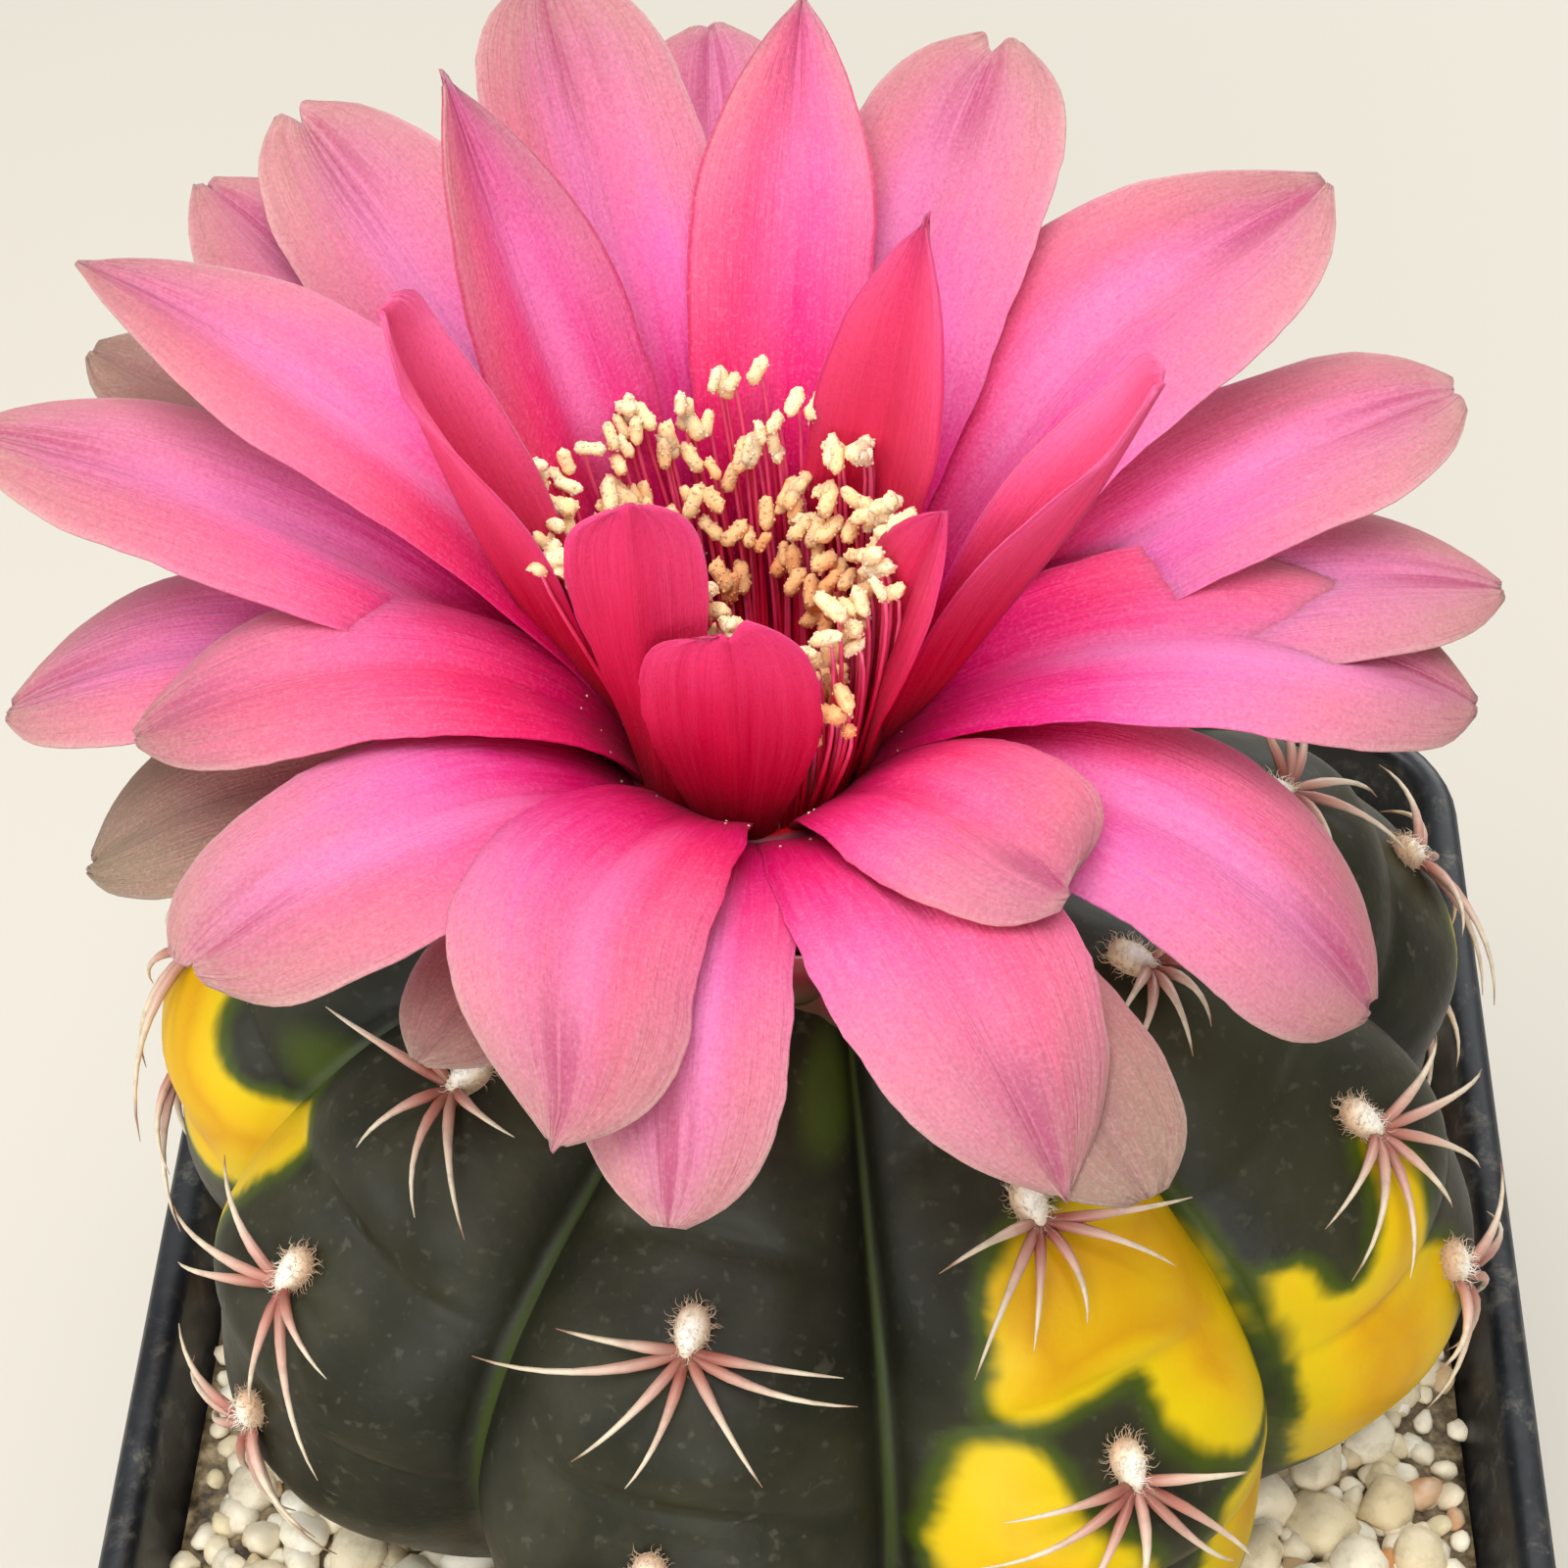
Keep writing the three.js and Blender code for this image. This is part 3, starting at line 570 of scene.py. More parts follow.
def pot_finish():
    f = Finish("charcoal_plastic", Specular_IOR_Level=0.5)
    grain = f.noise(2400, 2, 0.5)
    scuff = f.noise(130, 6, 0.68, distort=0.4)
    powder = f.noise(520, 6, 0.72, distort=0.3)
    streak = f.noise(1.0, 4, 0.6, where=f.stretched((900, 900, 60)))
    height = f.add("ShaderNodeSeparateXYZ")
    f.feed(height.inputs[0], f.place)
    rim = f.between(height.outputs["Z"], 0.058, 0.065)
    share = f.plus(0.1, f.times(rim, 0.4))
    dust = f.times(f.between(powder, 0.5, 0.75), share)
    dust = f.times(dust, f.between(scuff, 0.35, 0.6, 0.3, 1.0))
    colour = f.mix(f.between(scuff, 0.35, 0.7), "#141518", "#212428")
    colour = f.mix(f.times(f.between(streak, 0.55, 0.75), 0.18), colour, "#3E4248")
    colour = f.mix(dust, colour, "#8E8877")
    rough = f.between(scuff, 0.3, 0.75, 0.34, 0.62)
    normal = f.bump(scuff, 0.08, 0.4, after=f.bump(grain, 0.03, 0.5))
    return f.done(colour, rough, normal)


dress(make_pot(), pot_finish(), "pot", "pot")

# %% [markdown]
# ## The soil
# Under the grit the pot is full of dark, crumbly soil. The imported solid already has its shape, and only
# its underside shows, through the drain holes. So it keeps its mesh and gets a better finish.

# %% Finish of the soil


def soil_finish():
    f = Finish("crumbly_soil", Specular_IOR_Level=0.2)
    crumb = f.noise(600, 6, 0.7)
    colour = f.ramp(crumb, (0.3, "#17100A"), (0.55, "#33251A"), (0.75, "#5A4633"))
    return f.done(colour, 0.9, f.bump(crumb, 0.8, 1.0))


soil = frame["nodes"]["soil"]
for seat in soil.material_slots:
    seat.material = soil_finish()
print("soil keeps its packed mesh")

# %% [markdown]
# ## The grit
# Pale gravel tops the soil. Placing some two thousand stones by hand would be dull and regular, and a
# rigid-body drop would take long and could leave a stone in the cactus. So a bed with a bumpy top is
# made, and Geometry Nodes scatter stones over it with a least distance between them. They pick one of
# a few angular pebbles, turn it, size it and sink it a little.
# The bed dips under the cactus that stands on it, so the measures of the ribbed body come first.

# %% The body's measures
BODY_X = -1.0
BODY_RADIUS = 31.5
BODY_MIDDLE = 77.5
BODY_RISE = 18.5
BODY_DROP = 22.0
RIBS = 9
FIRST_RIB = -102.0
LOW_POWER = 0.8  # of the sine below the body's widest place, which makes its underside fuller
GROOVE_DEPTH = 4.2
CHIN = 0.9
TOP_AREOLE = [20, 11, 28, 17, 25, 12, 22, 14, 10]
AREOLE_STEP = 27
LOWEST_AREOLE = 100

# %% The bed under the stones
BED_FOOT = 54.85
BED_TOP = 60.4
BED_HALF = 31.9
FOOT_HALF = 31.2
BED_ROWS = 34
UNDER_BODY = 22.2  # radius where the bed meets the body's underside
BODY_GAP = 0.6  # how far the bed stays below the body
ROOT_HOLE = 6.6
STONE_SPACES = (0.4, 1.0, 1.9)  # mm that each size of stone needs beside it


def body_underside(radius):
    """Height of the body's underside at a radius."""
    return BODY_MIDDLE - BODY_DROP * math.sqrt(max(1 - (radius / BODY_RADIUS) ** (2 / LOW_POWER), 0.0))


def make_bed():
    """A plate with a hole for the root, lower under the body.

    room: how many sizes of stone fit at a point. stone: -1, which tells the bed from its stones.
    """
    outer = rounded_square(2 * BED_HALF, 4.5)
    count, rows = len(outer), BED_ROWS
    points, room = [], []
    for i in range(rows):
        share = i / (rows - 1)
        for j, corner in enumerate(outer):
            aim = unit(np.array([corner[0] - BODY_X, corner[1]]))
            inner = np.array([BODY_X, 0]) + aim * ROOT_HOLE
            x, y = inner + (corner - inner) * share
            radius = math.hypot(x - BODY_X, y)
            to_wall = np.linalg.norm(corner - inner) * (1 - share)
            bumps = 0.5 * value_noise.noise(Vector((x, y, 3)) * 0.5) * smooth(radius, 22, 26)
            points.append((x, y, min(BED_TOP, body_underside(radius) - BODY_GAP) + bumps))
            fits = [radius > UNDER_BODY + space and to_wall > space for space in STONE_SPACES]
            room.append(float(sum(fits)))
    for ring in (-1, 0):
        row = points[ring * count:][:count] if ring else points[:count]
        shrink = FOOT_HALF / BED_HALF if ring else 1
        points += [(x * shrink, y * shrink, BED_FOOT) for x, y, z in row]
    room += [0.0] * (2 * count)
    faces = ring_faces(rows + 1, count, (False, False))
    outer_low, inner_low = rows * count, (rows + 1) * count
    for j in range(count):
        k = (j + 1) % count
        faces.append((outer_low + j, outer_low + k, inner_low + k, inner_low + j))
        faces.append((inner_low + j, inner_low + k, k, j))
    return mesh_object("grit_bed", points, faces, {"room": room, "stone": [-1.0] * len(points)})


# %% Pebbles to choose from
PEBBLES = 7
PEBBLE_FLATS = 7
FLAT_WEAR = 0.85  # share of what stands over a flat that is worn away
STONE_SEED = 41
SIZE_SEED = 5
TURN_SEED = 9
TONE_SEED = 31
STONE_TILT = 0.6  # radians
STONE_LIFT = 0.28  # share of its radius by which a stone's middle lies over the bed
# Each size of stone: its spacing's name, the room that it needs, its least and its greatest radius.
STONE_SIZES = [("Big spacing", 3, 1.5, 2.3), ("Middling spacing", 2, 0.8, 1.3),
               ("Small spacing", 1, 0.6, 0.95)]


def make_pebble(number):
    """A worn, slightly angular stone of radius 1 mm, of some eighty faces."""
    bpy.ops.mesh.primitive_ico_sphere_add(subdivisions=2, radius=1.0)
    stone = bpy.context.active_object
    draw = random.Random(STONE_SEED + number)
    flats = [(unit(np.array([draw.gauss(0, 1) for _ in range(3)])), draw.uniform(0.62, 0.86))
             for _ in range(PEBBLE_FLATS)]
    stretch = np.array([1.0, draw.uniform(0.7, 0.95), draw.uniform(0.55, 0.8)])
    for vertex in stone.data.vertices:
        p = np.array(vertex.co)
        for normal, reach in flats:
            beyond = float(p @ normal) - reach
            if beyond > 0:
                p = p - normal * beyond * FLAT_WEAR
        p = p * stretch * (1 + 0.08 * value_noise.noise(Vector(p) * 2 + Vector((number, 0, 0))))
        vertex.co = Vector(p) * MM
    stone.name = f"pebble_{number}"
    return stone


pebble_box = bpy.data.collections.new("pebbles")
bpy.context.scene.collection.children.link(pebble_box)
for number in range(PEBBLES):
    move_to(make_pebble(number), pebble_box)

# %% Finish of the stones


def grit_finish():
    f = Finish("pale_gravel", Specular_IOR_Level=0.45, Subsurface_Weight=0.15, Subsurface_Scale=0.001,
               Subsurface_Radius=(1.0, 0.8, 0.5))
    stone = f.number("stone")
    kind = f.ramp(stone, (0.0, "#F4EDDA"), (0.25, "#E8DABC"), (0.45, "#D6C49A"), (0.6, "#EDE5D2"),
                  (0.76, "#E2D0A6"), (0.88, "#CEB88E"), (0.96, "#B8966A"), (0.985, "#C4864A"))
    grain = f.noise(900, 4, 0.65)
    stain = f.noise(260, 3, 0.5)
    colour = f.mix(f.between(grain, 0.45, 0.75, 0.0, 0.4), kind, "#8A7A5E")
    colour = f.mix(f.between(stain, 0.5, 0.7, 0.0, 0.4), colour, "#FFF9E8")
    # Below the stones the bed gets a dark crumb colour: fine grit, painted darker as the shade in the
    # gaps between the stones.
    crumbs = f.ramp(grain, (0.35, "#3A2E1E"), (0.5, "#6E5E44"), (0.65, "#A08E6C"))
    colour = f.mix(f.between(stone, -0.6, -0.1, 1.0, 0.0), colour, crumbs)
    return f.done(colour, f.between(grain, 0.3, 0.7, 0.35, 0.7), f.bump(grain, 0.12, 0.6))


# %% Growth rule of the grit


def scattered_grit():
    g = Growth("scattered_grit", make_bed(), grit_finish(), Pebbles=pebble_box,
               Big_spacing=2.8 * MM, Middling_spacing=1.65 * MM, Small_spacing=1.0 * MM)
    bed = g.geometry
    layers = [bed]
    for number, (spacing, least_room, low, high) in enumerate(STONE_SIZES):
        g.geometry = bed
        spread = g.pass_on("GeometryNodeDistributePointsOnFaces", distribute_method="POISSON",
                           Distance_Min=g.given(spacing), Density_Max=2.0e6, Density_Factor=1.0)
        allowed = g.math("GREATER_THAN", g.number("room"), least_room - 0.01)
        g.feed(spread.inputs["Selection"], allowed)
        spread.inputs["Seed"].default_value = STONE_SEED + number
        size = g.random_size(low, high, SIZE_SEED + number)
        turn = g.random_turn((-STONE_TILT, -STONE_TILT, 0), (STONE_TILT, STONE_TILT, 6.28),
                             TURN_SEED + number)
        lift = g.times(size, STONE_LIFT * MM)
        g.pass_on("GeometryNodeSetPosition", Offset=g.vector(0.0, 0.0, lift))
        g.pass_on("GeometryNodeInstanceOnPoints", Instance=g.kinds("Pebbles"), Pick_Instance=True,
                  Rotation=turn, Scale=size)
        g.pass_on("GeometryNodeStoreNamedAttribute", data_type="FLOAT", domain="INSTANCE",
                  Name="stone", Value=g.random_size(0.0, 1.0, TONE_SEED + number))
        layers.append(g.geometry)
    g.gather(*layers)
    return g.frozen("grit")


dress(scattered_grit(), grit_finish(), "grit", "grit_topping")
for pebble in list(pebble_box.objects):
    bpy.data.objects.remove(pebble)
bpy.data.collections.remove(pebble_box)

# %% [markdown]
# ## The ribbed body
# A chin cactus is a flattened globe with nine ribs. Each rib is broad and round with a narrow, sharp
# groove on either side, and swells into a chin under every areole. All of that is one rule of two
# angles, the azimuth round the body and the angle down from its top, so a sculpted sphere would be
# hard work for what a formula gives evenly. A plain grid holds the two angles for each point, and
# Geometry Nodes turn them into the body's shape. The grid also keeps where the skin is yellow.

# %% Ribs and crests


def areole_angles(rib):
    return list(range(TOP_AREOLE[rib], LOWEST_AREOLE, AREOLE_STEP))


def across_rib(azimuth):
    """The rib at an azimuth, and -1 to 1 from one groove of it over the crest to the other."""
    turns = (azimuth - FIRST_RIB) / (360 / RIBS)
    return round(turns) % RIBS, 2 * (turns - round(turns))


def crest_point(azimuth, angle):
    """A point of the smooth globe that all crests lie on."""
    turn = math.radians(angle)
    low = angle > 90
    radius = BODY_RADIUS * max(math.sin(turn), 0.0) ** (LOW_POWER if low else 1.0)
    height = BODY_MIDDLE + (BODY_DROP if low else BODY_RISE) * math.cos(turn)
    return direction(azimuth) * radius + np.array([BODY_X, 0, height])


# %% [markdown]
# The yellow patches are places where the plant lacks its green. They are outlines on the body, each a
# few points of azimuth and angle from the top, and many of them stop at a groove. How deep a point lies
# in a patch is kept for each point. The finish roughens the edges later with a noise.

# %% The grid of the skin
SKIN_PER_RIB = 30
SKIN_ROWS = 170
GRID_STEP = 0.1  # any step will do, because the growth rule moves every point
LOWEST_SKIN = 162
ROOT_RINGS = [(6.0, 55.5), (4.5, 51.5), (1.2, 38.5)]
ROOT_STEPS = 48
PATCH_SOFTNESS = 12.0  # degrees from a patch's edge to where it counts as deep
# Azimuth and angle of each corner of each patch.
YELLOW_OUTLINES = [
    [(-71, 41), (-60, 37), (-50, 40), (-48, 33), (-43, 36), (-42.6, 60), (-43, 76), (-50, 75), (-56, 69),
     (-59, 61), (-57, 56), (-64, 58), (-71, 58), (-73, 54), (-71, 49)],
    [(-77, 60), (-70, 59), (-67, 63), (-67, 68), (-63, 74), (-60, 82), (-64, 94), (-73, 95), (-79, 80)],
    [(-57, 73), (-50, 74), (-43, 76), (-43, 93), (-50, 99), (-58, 97), (-56, 84)],
    [(-39.6, 62), (-37.5, 61), (-36, 67), (-33.5, 68), (-30.5, 65), (-26, 59), (-23, 56), (-20.5, 61),
     (-26, 68), (-26.5, 72), (-22, 78), (-22, 87), (-28, 97), (-34, 104), (-39.6, 107)],
    [(-194, 56), (-182, 55), (-176, 60), (-173, 66), (-168, 70), (-164, 68), (-160, 62), (-156, 54),
     (-151, 56), (-152, 62), (-155, 69), (-154, 78), (-159, 85), (-165, 92), (-176, 94), (-192, 88)],
    [(79, 55), (83, 53), (86, 46), (91, 50), (97, 47), (99, 54), (97, 61), (93, 66), (98, 70), (105, 69),
     (108, 76), (104, 84), (98, 90), (93, 83), (88, 78), (84, 85), (79, 87)],
    [(58, 72), (62, 64), (67, 66), (72, 74), (77, 70), (77, 98), (72, 101), (66, 96), (62, 90), (66, 82),
     (61, 79)],
    [(119, 58), (123, 52), (129, 49), (134, 55), (131, 62), (133, 69), (139, 75), (145, 69), (151, 63),
     (156.5, 69), (156.5, 89), (150, 95), (144, 91), (140, 83), (135, 81), (130, 90), (124, 88),
     (119, 80)],
    [(5, 88), (8, 82), (13, 78), (17, 81), (19, 88), (24, 87), (28, 80), (33, 83), (37, 90), (34, 95),
     (35, 101), (28, 104), (22, 99), (15, 103), (9, 98)]]
# Middle (azimuth, angle) and half size of each place that stays green but is bright and clear.
GREEN_OVALS = [((-88, 25), (7, 8)), ((-161, 57), (8, 8)), ((60, 60), (12, 14))]


def aside_of(azimuth, middle):
    return (azimuth - middle + 180) % 360 - 180


def oval_depth(azimuth, angle, at, size):
    """How deep points lie in an oval: 1 in its middle, and below 0 outside."""
    return 1 - np.hypot(aside_of(azimuth, at[0]) / size[0], (angle - at[1]) / size[1])


def rounded(outline):
    """Cuts every corner of an outline, so that it has twice as many points."""
    return [(a + (c - a) * t, b + (d - b) * t)
            for (a, b), (c, d) in zip(outline, outline[1:] + outline[:1]) for t in (0.25, 0.75)]


def outline_depth(azimuth, angle, outline):
    """How deep points lie inside an outline, and below 0 outside."""
    middle = outline[0][0]
    x, y = aside_of(azimuth, middle), angle
    nearest, crossings = np.full(x.shape, 360.0), np.zeros(x.shape, dtype=int)
    for (ax, ay), (bx, by) in zip(outline, outline[1:] + outline[:1]):
        ax, bx = ax - middle, bx - middle
        length = (bx - ax) ** 2 + (by - ay) ** 2
        share = np.clip(((x - ax) * (bx - ax) + (y - ay) * (by - ay)) / length, 0, 1)
        gap = np.hypot(x - ax - share * (bx - ax), y - ay - share * (by - ay))
        nearest = np.minimum(nearest, gap)
        if ay != by:
            meets = ax + (y - ay) / (by - ay) * (bx - ax)
            crossings += ((ay > y) != (by > y)) & (x < meets)
    return np.where(crossings % 2 == 1, nearest, -nearest) / PATCH_SOFTNESS


def chin_swell(across, angle, rib):
    """The swelling under each areole of a rib, less the dip above it."""
    lift = sum(bell((angle - spot - 10) / 8) - 0.5 * bell((angle - spot + 7) / 6)
               for spot in areole_angles(rib))
    notch = sum(bell((angle - spot + 9 - 6 * across * across) / 1.3) for spot in areole_angles(rib))
    return (1 - across * across) * lift - 0.3 * notch * (1 - across ** 4)


def skin_grid():
    """A flat grid that carries for each of its points what the growth rule needs to know."""
    count = SKIN_PER_RIB * RIBS
    angles = np.repeat(np.linspace(1.5, LOWEST_SKIN, SKIN_ROWS), count)
    azimuths = np.tile(FIRST_RIB + 360 * np.arange(count) / count, SKIN_ROWS)
    ribs = [across_rib(azimuth) for azimuth in azimuths[:count]] * SKIN_ROWS
    yellow = [outline_depth(azimuths, angles, rounded(rounded(patch))) for patch in YELLOW_OUTLINES]
    numbers = {
        "azimuth": np.radians(azimuths), "down": np.radians(angles),
        "across": [abs(across) for rib, across in ribs],
        "swell": [chin_swell(across, angle, rib) for (rib, across), angle in zip(ribs, angles)],
        "yellow": np.max(yellow, axis=0),
        "clear": np.max([oval_depth(azimuths, angles, *oval) for oval in GREEN_OVALS], axis=0)}
    points = [(j * GRID_STEP, i * GRID_STEP, 0) for i in range(SKIN_ROWS) for j in range(count)]
    return mesh_object("skin_grid", points, ring_faces(SKIN_ROWS, count), numbers)


# %% [markdown]
# The skin is dark grey-green and satiny, like wax, with the faintest speckle and fine scratches. Where
# it is yellow, a soft olive seam lies between the two colours. Towards the grooves the skin is painted
# darker, as painted shade in the recesses, with a thin line of fresh green at their bottom, because new
# skin unfolds there.

# %% Finish of the skin


def skin_finish():
    f = Finish("waxy_skin", Specular_IOR_Level=0.22, Subsurface_Weight=0.05, Subsurface_Scale=0.002,
               Subsurface_Radius=(0.6, 1.0, 0.25))
    mottle = f.noise(170, 5, 0.62)
    speck = f.noise(1500, 2, 0.5)
    cloud = f.noise(60, 4, 0.55, distort=0.7)
    scratch = f.noise(1.0, 5, 0.7, where=f.stretched((260, 900, 1500)))
    dark = f.ramp(cloud, (0.3, "#19190B"), (0.5, "#252415"), (0.68, "#383722"))
    dark = f.mix(f.between(mottle, 0.45, 0.75, 0.0, 0.45), dark, "#43412C")
    dark = f.mix(f.between(speck, 0.6, 0.75, 0.0, 0.22), dark, "#6A6856")
    dark = f.mix(f.between(scratch, 0.66, 0.76, 0.0, 0.3), dark, "#777364")
    groove = f.number("across")
    # Painted shade: the skin darkens towards the grooves, where the recesses are shaded.
    dark = f.mix(f.between(groove, 0.6, 0.93, 0.0, 0.6), dark, "#12140B")
    dark = f.mix(f.between(groove, 0.955, 0.995, 0.0, 0.7), dark, "#3C4A12")
    fresh = f.plus(f.number("clear"), f.times(cloud, 0.5))
    dark = f.mix(f.between(fresh, 0.25, 0.9, 0.0, 0.7), dark, "#46560F")
    edge = f.noise(95, 4, 0.55, distort=0.9)
    ragged = f.plus(f.times(f.less(edge, 0.5), 0.72), 0.1)
    depth = f.plus(f.number("yellow"), ragged)
    blush = f.plus(depth, f.times(f.less(f.noise(90, 3), 0.5), 1.2))
    gold = f.ramp(blush, (0.1, "#D2B400"), (0.35, "#D6AC00"), (0.6, "#CA9400"), (0.9, "#D0A200"))
    colour = f.mix(f.between(depth, -0.14, 0.06), dark, "#3E4C06")
    colour = f.mix(f.between(depth, 0.02, 0.2), colour, gold)
    rough = f.between(mottle, 0.3, 0.7, 0.4, 0.54)
    normal = f.bump(scratch, 0.03, 0.4, after=f.bump(speck, 0.04, 0.5))
    return f.done(colour, rough, f.bump(mottle, 0.18, 0.5, after=normal))


# %% Growth rule of the body
RIB_END = 150  # degrees from the top, below which the ribs fade no further
FOLD_SHARPNESS = 420.0  # of the fine crease at the bottom of a groove
LUMP_SCALE = 4.0  # of the noise that makes the body uneven
CROWN = 40  # degrees from the top, beyond which the skin swells less and less upwards
LEAST_RADIUS = 0.4  # so that the skin never crosses its own axis


def ribbed_skin():
    g = Growth("ribbed_skin", skin_grid(), skin_finish(), Radius=BODY_RADIUS * MM, Rise=BODY_RISE * MM,
               Drop=BODY_DROP * MM, Middle=BODY_MIDDLE * MM, Aside=BODY_X * MM,
               Groove=GROOVE_DEPTH * MM, Sharpness=2.6, Chin=CHIN * MM, Crease=0.5 * MM,
               Unevenness=0.5 * MM)
    azimuth, down, across = g.number("azimuth"), g.number("down"), g.number("across")
    sine, cosine = g.math("SINE", down), g.math("COSINE", down)
    low = g.math("GREATER_THAN", down, math.pi / 2)
    high = g.less(1.0, low)
    power = g.less(1.0, g.times(low, 1 - LOW_POWER))
    radius = g.times(g.given("Radius"), g.math("POWER", sine, power))
    tall = g.plus(g.times(g.given("Drop"), low), g.times(g.given("Rise"), high))
    height = g.plus(g.given("Middle"), g.times(tall, cosine))
    level = g.math("MINIMUM", down, math.radians(RIB_END))
    fade = g.math("POWER", g.math("SINE", level), 1.2)
    groove = g.times(g.given("Groove"), g.math("POWER", across, g.given("Sharpness")))
    near = g.less(1.0, across)
    fold = g.math("POWER", math.e, g.times(g.times(near, near), -FOLD_SHARPNESS))
    cut = g.times(g.plus(groove, g.times(g.given("Crease"), fold)), fade)
    swell = g.times(g.times(g.given("Chin"), g.number("swell")), g.math("POWER", sine, 0.6))
    east, north = g.math("COSINE", azimuth), g.math("SINE", azimuth)
    spot = g.vector(*[g.times(part, LUMP_SCALE) for part in (east, north, down)])
    lumps = g.less(g.noise(1.0, 2, 0.5, where=spot), 0.5)
    uneven = g.times(g.times(lumps, g.given("Unevenness")), fade)
    out = g.plus(g.less(swell, cut), uneven)
    crown = g.math("MINIMUM", 1.0, g.math("DIVIDE", math.radians(CROWN), down))
    steep = g.times(g.times(cosine, high), crown)
    flat = g.math("MAXIMUM", g.plus(radius, out), LEAST_RADIUS * MM)
    place = g.vector(g.plus(g.given("Aside"), g.times(flat, east)), g.times(flat, north),
                     g.plus(height, g.times(out, steep)))
    g.pass_on("GeometryNodeSetPosition", Position=place)
    return g.frozen("cactus_skin")


def tap_root():
    """The root goes on under the body: its rings grow from the skin's lowest ring."""
    profile = [tuple(crest_point(0, LOWEST_SKIN - 3)[[0, 2]] - np.array([BODY_X, 0.4]))] + ROOT_RINGS
    plain = {"yellow": -1, "across": 0.2, "clear": -1}
    numbers = {key: [value] * (ROOT_STEPS * len(profile)) for key, value in plain.items()}
    return turned("tap_root", profile, ROOT_STEPS, (BODY_X, 0), numbers)


skin = join("cactus_skin", [ribbed_skin(), tap_root()])
dress(skin, skin_finish(), "skin", "cactus_body")

# %% [markdown]
# ## Areoles: wool and spines
# On each chin sits an areole, a little cushion of wool that the spines grow from. The spines are
# threads with a thickness at each point, curved back over the body. One growth rule turns all such
# threads into tapered tubes. It serves the stamens later as well.

# %% The threads' growth rule


def threads(name, paths, finish, sides, extra=None):
    """Tapered tubes along paths, which are lists of (point, radius). extra: a number for each path."""
    points, edges, thick, along, own = [], [], [], [], []
    for number, path in enumerate(paths):
        for i, (point, radius) in enumerate(path):
            if i:
                edges.append((len(points) - 1, len(points)))
            points.append(point)
            thick.append(radius * MM)
            along.append(i / (len(path) - 1))
            own.append(extra[number] if extra else 0.0)
    base = mesh_object(name + "_paths", points, [], {"thick": thick, "along": along, "own": own}, edges)
    g = Growth(name, base, finish, Sides=sides)
    g.pass_on("GeometryNodeMeshToCurve")
    circle = g.add("GeometryNodeCurvePrimitiveCircle")
    g.feed(circle.inputs["Resolution"], g.given("Sides"))
    circle.inputs["Radius"].default_value = 1.0
    tube = g.pass_on("GeometryNodeCurveToMesh", Profile_Curve=circle.outputs[0], Fill_Caps=True)
    g.feed(tube.inputs["Scale"], g.number("thick"))
    return g.frozen(name)


# %% Where the areoles sit
TUBE_FOOT = np.array([-0.5, -5.6, 92.5])
TUBE_CLEARANCE = 9.5


def crest_frame(azimuth, angle):
    """A crest point with its way out of the skin, its way down and its way round."""
    point = crest_point(azimuth, angle)
    down = unit(crest_point(azimuth, angle + 0.5) - crest_point(azimuth, angle - 0.5))
    round_body = direction(azimuth + 90)
    return point, np.cross(down, round_body), down, round_body


AREOLES = []
AREOLE_NODES = []
for rib in range(RIBS):
    azimuth = FIRST_RIB + 360 / RIBS * rib
    for row, angle in enumerate(areole_angles(rib)):
        if np.linalg.norm(crest_point(azimuth, angle) - TUBE_FOOT) > TUBE_CLEARANCE:
            AREOLES.append((azimuth, angle))
            AREOLE_NODES.append(f"areole_rib{rib + 1}_row{row + 1}")
missing = [name for name in AREOLE_NODES if name not in frame["nodes"]]
print("areoles:", len(AREOLES), "missing in the frame:", missing)

# %% [markdown]
# A spine leaves the wool almost level, arches over the skin and bends back towards it at its tip. Its
# path is walked on the globe of the crests: so far down, so far round, and so high over the skin.

# %% The spines
SPINE_LENGTH = 7.4
SPINE_THICK = 0.27
# The way a spine goes, from straight down the rib towards one side, and its share of the full length.
SPINE_FAN = [(-97, 0.78), (-71, 1.0), (-46, 0.84), (-9, 0.72), (28, 0.86), (53, 1.08), (86, 0.68)]
SPINE_STATIONS = 9
SPINE_SEED = 7


def spine_path(azimuth, angle, turn, length, draw):
    """Points of one spine with its radius at each."""
    point, out, down, around = crest_frame(azimuth, angle)
    per_degree = np.linalg.norm(crest_point(azimuth, angle + 0.5) - crest_point(azimuth, angle - 0.5))
    radius = math.hypot(point[0] - BODY_X, point[1])
    hook = draw.uniform(-9, 16) * (1 if turn > 0 else -1)
    lift = draw.uniform(0.85, 1.2)
    path = []
    for i in range(SPINE_STATIONS):
        s = i / (SPINE_STATIONS - 1)
        bent = math.radians(turn - hook * s)
        far = 0.35 + length * s
        below, aside = far * math.cos(bent) + 0.55, far * math.sin(bent)
        here = azimuth + math.degrees(aside / max(radius, 6))
        base, normal, _, _ = crest_frame(here, max(angle + below / per_degree, 2))
        rise = 0.55 + lift * (2.3 * s ** 0.8 - 1.5 * s ** 2.3)
        thick = SPINE_THICK * (1 - s) ** 0.62 * (0.85 + 0.3 * math.sin(math.pi * min(s * 2.2, 1)))
        path.append((base + normal * rise, max(thick, 0.018)))
    return path


